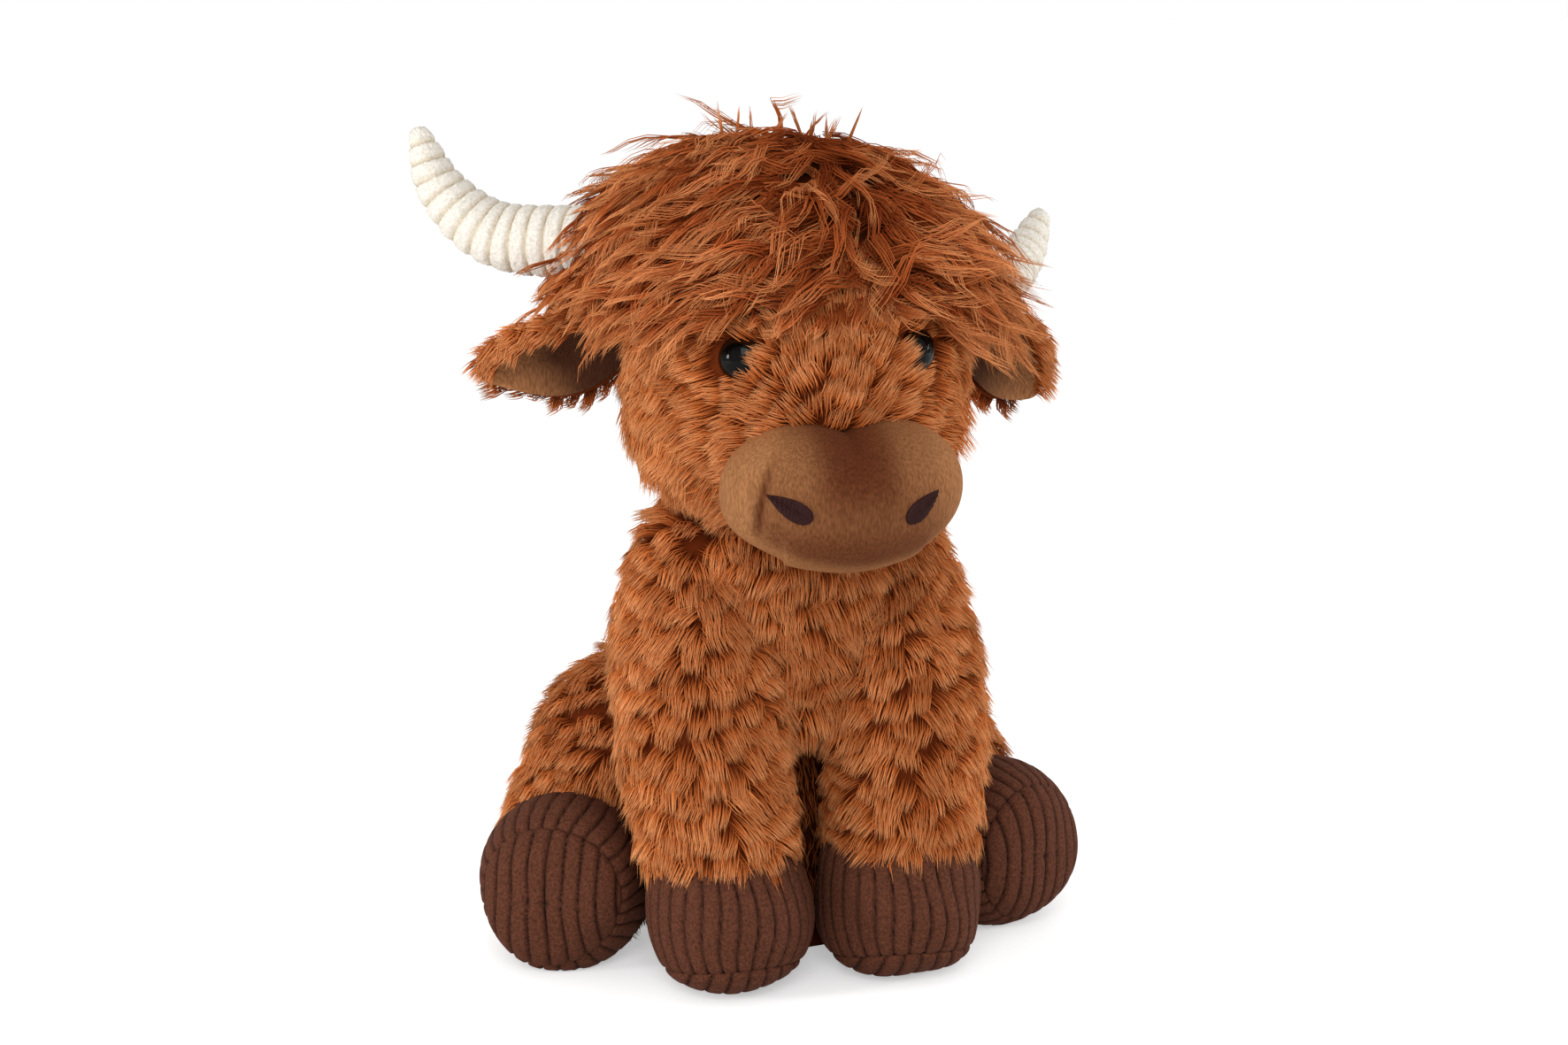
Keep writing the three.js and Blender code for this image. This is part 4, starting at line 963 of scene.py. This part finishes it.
def eye(side):
    """A dome turned about the eye's heading: a quarter ellipse from the rim to the top, closed behind."""
    place, heading = eyes[side]
    level = unit(np.cross(heading, UP))
    climb = np.linspace(0, np.pi / 2, 14)
    radius = np.concatenate([[0, EYE_RADIUS], EYE_RADIUS * np.cos(climb)])[:, None]
    height = np.concatenate([[EYE_BACK, EYE_BACK], EYE_EDGE + EYE_DOME * np.sin(climb)])[:, None]
    turn = np.linspace(0, 2 * np.pi, 40, endpoint=False)[None, :]
    grid = (place + heading * (height + 0 * turn)[..., None]
            + level * (radius * np.cos(turn))[..., None] + UP * (radius * np.sin(turn))[..., None])
    rim = np.broadcast_to(radius / EYE_RADIUS, grid.shape[:2])
    trim(skin_piece(f"eye_dome_{side}", grid, EYE, shade=rim), "head", f"eye_{side}")
    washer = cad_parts[f"eye_washer_{side}"].data.materials
    washer.clear()
    washer.append(WASHER)


for side, _ in SIDES:
    eye(side)
print("eyes in mm:", 2 * EYE_RADIUS)

# %% [markdown]
# ## Horns
# The horns are cream corduroy with the wales round them like rings, stuffed firmly, and the left one has
# slumped. The wales are ridges along the path, set a little askew and with a fine fuzz on them. A spun
# profile bent along a curve would do, but the form already has its path.

# %% Horns
HORN_WALE_HEIGHT = 1.3
for side, form in horns.items():
    rings = round(form.length / WALE)
    polar = form.polar(np.linspace(0, 1, rings * 12 + 1))[:, None]
    turn = np.linspace(0, 2 * np.pi, 72, endpoint=False)[None, :]
    share, _ = form.share(polar)
    across = wave(share * rings + 0.12 * np.sin(turn), 4)
    fuzz = np.random.default_rng(5).normal(0, 0.16, across.shape)
    grid = form.at(polar, turn, (across - 1) * HORN_WALE_HEIGHT + fuzz)
    grid[[0, -1]] = grid[[0, -1]].mean(1, keepdims=True)
    stuffed(skin_piece(f"horn_cloth_{side}", grid, HORN, wale=across), f"{side}_horn", "horn_corduroy", 0.9,
            f"horn_{side}", f"horn_filling_{side}")
    print(side, "horn:", rings, "wales")

# %% [markdown]
# ## Ears
# Each ear is a leaf of fur with a velour lining, cupped to the front. The fur points to the tip and hangs
# over the upper edge, and the lining is painted darker towards the root and the middle, as shade under the
# hair and in the cup. The leaf is a flat form bent round a circle. A simple bend modifier would also cup it,
# but the fur's roots need the bent surface too.

# %% Ear leaves
EAR_RISE, EAR_SWEEP, EAR_DROOP = 68, 30, {"right": 18, "left": 36}
EAR_SUNK, EAR_LENGTH, EAR_HALF_WIDTH, EAR_END_HALF_WIDTH = 9, 58, 21, 13
EAR_BEND, EAR_FUR_LENGTH = 16.0, 10.0


def ear_axes(side, sign):
    """An ear's root on the head, and its axes: out along the ear, across it, and the way it faces."""
    sweep = math.radians(EAR_SWEEP)
    droop = math.radians(EAR_DROOP[side])
    root = head.at(head.polar(EAR_RISE / HEAD_HEIGHT), 0.0 if sign > 0 else math.pi)
    level = np.array([sign * math.cos(sweep), math.sin(sweep), 0])
    outward = level * math.cos(droop) - UP * math.sin(droop)
    facing = unit(np.array([sign * math.sin(sweep), -math.cos(sweep), -0.5]))
    across = unit(np.cross(facing, outward))
    return root, outward, across, np.cross(outward, across)


def leaf(axes, margin, shift, thick):
    """A cupped leaf as a surface of two angles: a flat one whose width is bent round a circle before it.

    It is drawn in by the margin and moved to the front by the shift. A spot's way across, over EAR_BEND, is
    its angle on the circle, and its way to the front is taken off the circle's radius.
    """
    root, outward, across, facing = axes
    end = EAR_END_HALF_WIDTH - margin
    flat = Form([root - EAR_SUNK * outward, root + EAR_LENGTH / 2 * outward,
                 root + (EAR_LENGTH - margin) * outward], across,
                [(0, end, thick), (0.45, EAR_HALF_WIDTH - margin, thick), (1, end, thick)], (2.4, 2))

    def surface(polar, turn):
        away = flat.at(polar, turn) - root
        bend = away @ across / EAR_BEND
        inward = away @ facing + shift
        return (root + outward * (away @ outward)[..., None]
                + across * ((EAR_BEND - inward) * np.sin(bend))[..., None]
                + facing * (EAR_BEND - 4 - (EAR_BEND - inward) * np.cos(bend))[..., None])
    return surface


print("ear roots in mm:", [ear_axes(side, sign)[0].round().tolist() for side, sign in SIDES])


# %% Ears
def ear_skins(side, axes):
    """The fur's backing and the velour lining, whose painted light and shade make it dark to the root and in
    the middle of the cup, and paler to the tip and the edges.
    """
    root, outward, across, _ = axes
    polar = np.linspace(0, np.pi, 40)[:, None]
    turn = np.linspace(0, 2 * np.pi, 60, endpoint=False)[None, :]
    polar, turn = np.broadcast_arrays(polar, turn)
    back = leaf(axes, margin=3.2, shift=0, thick=2.2)
    trim(skin_piece(f"ear_skin_{side}", back(polar, turn), BACKING), f"{side}_ear", f"ear_{side}")
    grid = leaf(axes, margin=2.6, shift=2.4, thick=1.6)(polar, turn)
    edge = np.abs((grid - root) @ across) / 14
    way = (grid - root) @ outward / 55
    # Painted shade: darker towards the root and the cup's middle, under the hair; painted light to the tip
    # and edges.
    shade = np.clip(1.7 * way - 0.85 + 0.3 * edge, 0, 1)
    trim(skin_piece(f"ear_velour_{side}", grid, LINING, shade=shade), f"{side}_ear",
         f"ear_lining_{side}")
    return back


def ear_fur(side, axes, back, seed):
    """Fur on the leaf's back, pointing to the tip, and a row of tufts that hangs over its upper edge."""
    root, outward, across, facing = axes
    points, normals, _ = spread_roots(back, 5.2, seed)
    upper = (points - root) @ across * np.sign(across[2]) / 15
    keep = ((normals @ facing) < 0.2 + 0.5 * (upper > 0.7)) & (head.depth(points) > 0.95)
    points, normals, upper = points[keep], normals[keep], upper[keep]
    lay = outward - (UP + 0.5 * facing) * np.clip(upper, 0, 1)[:, None] * 0.7
    rim = back(np.linspace(0.25, 0.9, 14) * np.pi, np.full(14, 0 if across[2] > 0 else np.pi))
    points = np.concatenate([points, rim])
    normals = np.concatenate([normals, np.broadcast_to(unit(facing + 0.6 * UP), rim.shape)])
    lay = np.concatenate([lay, np.broadcast_to(outward - 0.9 * UP, rim.shape)])
    lines, tone, outer = tufts(points, normals, lay, np.full(len(points), EAR_FUR_LENGTH), seed + 50, 40, 4.5)
    fur_pieces(f"ear_fur_{side}", (lines, tone, unit(outer + 0.8 * facing)), f"{side}_ear", seed + 60)


for number, (side, sign) in enumerate(SIDES):
    axes = ear_axes(side, sign)
    back = ear_skins(side, axes)
    ear_fur(side, axes, back, 8 + number)

# %% [markdown]
# ## Long hair
# The forelock is a strip of long faux fur sewn over the crown. It falls to both sides of a ruffled parting,
# over the horns' roots and the ears and down to the eyes, in waves with pointed ends. Each lock follows a
# rounded cap that stands over the crown, step by step along a flow. Combing hair guides by hand would give
# more control over single locks, but a flow can be read, and gives the same hair each time.

# %% Flow of the hair
CAP_CENTRE, CAP_HALF, CAP_POWER = np.array([-7, -30, 240.0]), np.array([78, 62, 64.0]), 2.4
CROWN_BACK, PARTING = -22, 6


def cap_level(spots):
    """How far out of the cap spots lie: the 2.4th root of the sum of their shares of its halves ^ 2.4."""
    return (np.abs((spots - CAP_CENTRE) / CAP_HALF) ** CAP_POWER).sum(-1) ** (1 / CAP_POWER)


def crown_flow(spots):
    """To both sides of a parting, by tanh of the way across over 16 mm, to the front or back, and down.

    Behind the crown it goes less to the sides. The toy's right lies almost level, and the locks fall more
    the lower they start.
    """
    aside = np.tanh((spots[:, :1] - PARTING) / 16)
    behind = np.clip((spots[:, 1:2] - CROWN_BACK) / 60, -0.35, 0.6)
    fall = 0.24 + 0.12 * aside + 0.4 * np.clip((252 - spots[:, 2:]) / 30, 0, 1)
    return aside * (1 - np.clip(behind, 0, 0.6)) * ACROSS + BACK * behind - fall * UP


def hem(spots):
    """The height that hair may hang down to: over the eyes in front, lower beside them and behind."""
    front = np.interp(np.abs(spots[:, 0]), [0, 26, 38, 48, 56, 72, 100], [238, 241, 245, 242, 234, 218, 216])
    return np.where(spots[:, 1] < -45, front, 220)


print("hem over the nose and beside an eye in mm:", hem(np.array([[0, -90, 0.0], [56, -90, 0]])))

# %% Locks
LOCK_LEAN = 3


def lock_lines(roots, flow, length, layer, lift, seed, points=8):
    """Middle lines of locks over the cap: each step follows the flow and falls a little more.

    A lock starts in its layer of the cap and may rise out of it by the square of the way gone, more so at
    both sides. A wave along each line grows from its root: it is a sine of the length gone, wider near the
    parting and on longer locks. High on the cap, locks away from its middle sink by up to LOCK_LEAN.
    """
    rng = np.random.default_rng(seed)
    count = len(roots)
    spot = roots.copy()
    line = [roots.copy()]
    way = []
    near = np.exp(-((roots[:, :1] - PARTING) / 24) ** 2)
    stray = rng.normal(0, 0.22, (count, 3)) + near * rng.normal(0, 0.45, (count, 3))
    for step in range(1, points):
        share = step / (points - 1)
        share_out = (spot - CAP_CENTRE) / CAP_HALF
        normal = unit(np.sign(share_out) * np.abs(share_out) ** (CAP_POWER - 1) / CAP_HALF)
        heading = flow(spot) + stray - (0.2 * share) * UP + normal * lift[:, None]
        out = (heading * normal).sum(-1, keepdims=True)
        heading = unit(heading - normal * np.where(out < 0, out, 0.55 * out))
        spot = spot + heading * (length / (points - 1))[:, None]
        level = cap_level(spot)
        room = 0.1 + np.interp(spot[:, 0], [-70, 0, 60], [0.1, 0, 0.2]) + 0.3 * (lift > 0.3)
        height = np.clip(level, layer, layer + room * share ** 2) / level
        spot = CAP_CENTRE + (spot - CAP_CENTRE) * height[:, None]
        line.append(spot.copy())
        way.append(np.cross(normal, heading))
    line = np.stack(line, axis=1)
    side = np.stack([way[0], *way], axis=1)
    share = np.linspace(0, 1, points)
    turns = length / rng.uniform(28, 46, count)
    phase = rng.uniform(0, 2 * np.pi, (count, 1)) + share * (turns * 2 * np.pi)[:, None]
    swing = share ** 0.8 * (rng.uniform(2, 6, (count, 1)) + 2.5 * near)
    swing = swing * np.clip(length / 34, 0, 1)[:, None]
    line += side * (swing * np.sin(phase))[..., None]
    line += unit(line - CAP_CENTRE) * (0.7 * swing * np.cos(phase))[..., None]
    high = np.clip((line[..., 2] - 236) / 50, 0, 1)
    line[..., 2] -= LOCK_LEAN * high * np.clip(np.abs(line[..., 0] + 10) / 50, 0, 1)
    return line, side


def lock_threads(line, side, width, threads, seed):
    """The threads of locks: discs of threads along each middle line that twist and shrink to its tip.

    Each thread also has a length and a loose wave of its own.
    """
    rng = np.random.default_rng(seed)
    count, points = line.shape[:2]
    along = unit(np.gradient(line, axis=1))
    side = unit(side - along * (side * along).sum(-1, keepdims=True))
    rise = np.cross(along, side)
    share = np.linspace(0, 1, points)
    number = np.arange(threads)
    radius = np.broadcast_to(width, count)[:, None] * np.sqrt((number + 0.5) / threads)
    angle = number * 2.39996 + rng.uniform(0, 2 * np.pi, (count, 1))
    angle = angle[..., None] + rng.uniform(-2, 2, (count, 1, 1)) * share
    shrink = 0.1 + 0.9 * (1 - share) ** 0.9
    spread = radius[..., None] * shrink
    loose = rng.normal(0, 0.8, (count, threads, 1)) * share * np.sin(
        share * rng.uniform(2, 5, (count, threads, 1)) + rng.uniform(0, 6, (count, threads, 1)))
    lines = (line[:, None] + side[:, None] * (spread * np.cos(angle) + loose)[..., None]
             + rise[:, None] * (0.6 * spread * np.sin(angle) + 0.7 * loose)[..., None])
    lines = lines[:, :, :1] + (lines - lines[:, :, :1]) * rng.uniform(0.7, 1.12, (count, threads, 1, 1))
    tone = np.clip(0.5 + rng.normal(0, 0.2, (count, 1)) + rng.normal(0, 0.16, (count, threads)), 0.01, 0.98)
    outward = np.repeat(unit(line.mean(1) - CAP_CENTRE), threads, axis=0)
    return lines.reshape(-1, points, 3), tone.ravel(), outward


print("locks high on the cap sink by up to", LOCK_LEAN, "mm")

# %% [markdown]
# The locks start evenly over the cap, with a few more about the crown. Each is made twice: the first run
# shows how far it would hang, and the second is shortened to end at the hem. Locks that would cross an eye
# are left out, and a few wisps lift off.

# %% Forelock
rng = np.random.default_rng(70)
LOCKS, WHORL = 1000, 60
i = np.arange(LOCKS) + 0.5
rise = np.concatenate([0.1 + 0.9 * ((i * PLASTIC_1) % 1), rng.uniform(0.93, 1, WHORL)])
turn = 2 * np.pi * np.concatenate([(i * PLASTIC_2) % 1, rng.uniform(0, 1, WHORL)])
count = LOCKS + WHORL
round_it = np.sqrt(1 - rise ** 2)
layer = rng.uniform(0.86, 1.02, count)
roots = CAP_HALF * np.stack([round_it * np.cos(turn), round_it * np.sin(turn), rise], axis=1)
roots = CAP_CENTRE + roots * (layer / cap_level(CAP_CENTRE + roots))[:, None]
aside = np.interp(roots[:, 0], [-80, -45, 0, 40, 66], [0.45, 0.85, 1, 1.05, 1.1])
length = rng.uniform(24, 52, count) * aside
keep = roots[:, 2] > hem(roots) + 4
roots, layer, length = roots[keep], layer[keep], length[keep]
lift = rng.uniform(-0.12, 0.06, count)
wisp = (rng.uniform(0, 1, count) > 0.97) | (np.arange(count) >= count - 12)
wisp = wisp & (round_it * np.cos(turn) < 0.6)
lift = np.where(wisp, rng.uniform(0.35, 0.9, count), lift)[keep]
wisp = wisp[keep]
line, _ = lock_lines(roots, crown_flow, length, layer, lift, 71)
hang = roots[:, 2] - line[..., 2].min(1)
length = length * np.clip((roots[:, 2] - hem(line[:, -1])) / np.maximum(hang, 1), 0.25, 1)
line, side = lock_lines(roots, crown_flow, length, layer, lift, 71)
to_eyes = np.min([np.linalg.norm(line - eyes[name][0], axis=-1).min(1) for name, _ in SIDES], axis=0)
clear = to_eyes > 11
line, side, wisp = line[clear], side[clear], wisp[clear]
print("locks:", len(line), "of which wisps:", wisp.sum())

# %% [markdown]
# A few thin wisps stand up on the crown, two at each of five places. A cap of the backing, painted darker as
# shade, lies under the hair and closes the gaps between the locks. Without it the short fur of the head would
# show through.

# %% Standing wisps and cap
HAIR_RADII = np.array([0.22, 0.23, 0.23, 0.22, 0.20, 0.17, 0.12])
STANDING = np.repeat([-27, -14, 8, 26, 33.0], 2)
stands = len(STANDING)
roots = np.stack([STANDING, np.full(stands, -22), np.full(stands, 320.0)], axis=1)
roots = roots + rng.normal(0, 4, (stands, 3))
layer = np.full(stands, 0.92)
roots = CAP_CENTRE + (roots - CAP_CENTRE) * (layer / cap_level(roots))[:, None]
up_line, up_side = lock_lines(roots, lambda spots: 1.2 * UP + 0.012 * (spots - CAP_CENTRE),
                              rng.uniform(16, 27, stands), layer, rng.uniform(1.0, 2.0, stands), 74)
width = np.concatenate([np.where(wisp, 1.0, 3.2), np.full(stands, 1.0)])
pile = lock_threads(np.concatenate([line, up_line]), np.concatenate([side, up_side]), width, 12, 72)
fur_pieces("forelock_hair", pile, "head", 73, HAIR_RADII, HAIR)

down = np.append(1.45, np.linspace(1.45, 0, 20))[:, None]
out = np.sin(down)
out[0] = 0
turn = np.linspace(0, 2 * np.pi, 56, endpoint=False)[None, :]
inside = CAP_HALF * np.array([0.84, 0.88, 0.95])
grid = np.stack([out * np.cos(turn), out * np.sin(turn), np.cos(down) + 0 * turn], axis=-1)
grid[-1] = UP
# The cap is the darker copy of the backing, painted shade between the locks.
trim(skin_piece("forelock_cap", CAP_CENTRE + inside * grid, SHADED_BACKING), "head", "forelock")

# %% [markdown]
# ## Tail
# The tail is a short fur stub with a tuft of the long hair that lies on the floor. The photograph doesn't
# show it. The tuft's locks run from a ring on the stub's end to spots on the floor, along simple arcs.

# %% Tail
stuffed(skin_piece("tail_skin", form_grid(tail, 20, 24, -3), BACKING), "tail", "fur", 0.7, "tail")
points, normals, along = spread_roots(lambda p, t: tail.at(p, t, -3), 5.0, 10)
keep = body.depth(points) > 0.95
pile = tufts(points[keep], normals[keep], along[keep], np.full(keep.sum(), 9.0), 80, 30, 4.0)
fur_pieces("tail_fur", pile, "tail", 81)
TUFT_LOCKS = 26
rng = np.random.default_rng(90)
around = np.linspace(0, 2 * np.pi, TUFT_LOCKS, endpoint=False)
start = tail_end + np.stack([6 * np.cos(around), 3 * np.sin(around), 4 + 3 * np.sin(around)], axis=1)
stop = np.stack([11 * np.cos(around) * rng.uniform(0.3, 1.1, TUFT_LOCKS),
                 tail_end[1] + rng.uniform(18, 33, TUFT_LOCKS),
                 3 + 7 * rng.uniform(0, 1, TUFT_LOCKS)], axis=1)
way = np.linspace(0, 1, 8)[None, :, None]
middle = (start + stop) / 2 + np.array([0, 0, 5.0])
line = start[:, None] * (1 - way) ** 2 + 2 * middle[:, None] * way * (1 - way) + stop[:, None] * way ** 2
line = line + ACROSS * (2.5 * way * np.sin(way * 7 + rng.uniform(0, 6, (TUFT_LOCKS, 1, 1))))
pile = lock_threads(line, np.broadcast_to(ACROSS, line.shape), 4.0, 30, 91)
tuft, = fur_pieces("tail_tuft_hair", pile, "tail", 92, HAIR_RADII, HAIR)
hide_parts("tail_tuft")

# %% [markdown]
# ## Stage, light and camera
# The toy sits on white, under an even sky, a large soft light from the front left and a small one on either
# side. Where the camera sees the floor and the sky they glow to white, and the light on the toy stays plain,
# so that a colour renders about as it is written. More light on the floor would also turn it white, but the
# pale horns would turn white with it.

# %% Floor and sky
def seen_share(tree):
    """1 for a ray that shows the stage to the camera, straight or through gloss or glass, and 0 for light."""
    path = tree.nodes.new("ShaderNodeLightPath")
    total = path.outputs["Is Camera Ray"]
    for output in ("Is Glossy Ray", "Is Transmission Ray"):
        add = tree.nodes.new("ShaderNodeMath")
        add.use_clamp = True
        tree.links.new(total, add.inputs[0])
        tree.links.new(path.outputs[output], add.inputs[1])
        total = add.outputs["Value"]
    return total


floor_material, tree, shader = new_material("white_floor", 0.9)
shader.inputs["Base Color"].default_value = (0.86, 0.86, 0.86, 1)
shader.inputs["Emission Color"].default_value = (1, 1, 1, 1)
glow = tree.nodes.new("ShaderNodeMath")
glow.operation = "MULTIPLY"
glow.inputs[1].default_value = 0.42
tree.links.new(seen_share(tree), glow.inputs[0])
tree.links.new(glow.outputs["Value"], shader.inputs["Emission Strength"])
mesh = bpy.data.meshes.new("floor")
mesh.from_pydata([(-6, -6, 0), (6, -6, 0), (6, 6, 0), (-6, 6, 0)], [], [(0, 1, 2, 3)])
mesh.materials.append(floor_material)
floor = bpy.data.objects.new("floor", mesh)
bpy.context.collection.objects.link(floor)

world = bpy.data.worlds.new("sky")
bpy.context.scene.world = world
world.use_nodes = True
SKY = 0.7
background = world.node_tree.nodes["Background"]
background.inputs["Color"].default_value = (1, 1, 1, 1)
shown = world.node_tree.nodes.new("ShaderNodeMath")
shown.operation = "MULTIPLY_ADD"
shown.inputs[1].default_value = 1 - SKY
shown.inputs[2].default_value = SKY
world.node_tree.links.new(seen_share(world.node_tree), shown.inputs[0])
world.node_tree.links.new(shown.outputs["Value"], background.inputs["Strength"])
print("sky:", SKY, "on the toy, 1 as seen")


# %% Lights
def light(name, place, target, size, power):
    """A square soft light that faces a target, in metres and watts."""
    lamp = bpy.data.lights.new(name, "AREA")
    lamp.size = size
    lamp.energy = power
    holder = bpy.data.objects.new(name, lamp)
    holder.location = place
    holder.rotation_euler = (Vector(target) - Vector(place)).to_track_quat("-Z", "Y").to_euler()
    bpy.context.collection.objects.link(holder)


light("front", (-0.5, -1.6, 1.1), (0, 0, 0.15), 0.9, 15)
light("left", (-1.25, -0.2, 0.3), (0, 0, 0.2), 0.22, 6)
light("right", (1.25, -0.2, 0.3), (0, 0, 0.2), 0.22, 5)
bpy.context.scene.view_settings.view_transform = "Standard"
print("lights:", [lamp.name for lamp in bpy.data.lights])

# %% [markdown]
# The camera stands where the photograph was taken from: 1.1 m away, 16 degrees to the toy's right and 13
# degrees up. Its focal length is that of the photograph in pixels, over the photograph's width.

# %% Camera
AZIMUTH, ELEVATION, DISTANCE = math.radians(-16), math.radians(13), 1.1
TARGET = Vector((0, -0.032, 0.150))
PHOTO_WIDTH, FOCAL, TARGET_SHIFT = 1772, 3410, (10, 40.5)
camera = bpy.data.objects.new("camera", bpy.data.cameras.new("camera"))
bpy.context.collection.objects.link(camera)
level = math.cos(ELEVATION)
back = Vector((math.sin(AZIMUTH) * level, -math.cos(AZIMUTH) * level, math.sin(ELEVATION)))
camera.location = TARGET + back * DISTANCE
camera.rotation_euler = (-back).to_track_quat("-Z", "Y").to_euler()
camera.data.sensor_width = 36
camera.data.lens = 36 * FOCAL / PHOTO_WIDTH
camera.data.shift_x = -TARGET_SHIFT[0] / PHOTO_WIDTH
camera.data.shift_y = TARGET_SHIFT[1] / PHOTO_WIDTH
bpy.context.scene.camera = camera
print("lens in mm:", round(camera.data.lens, 1))
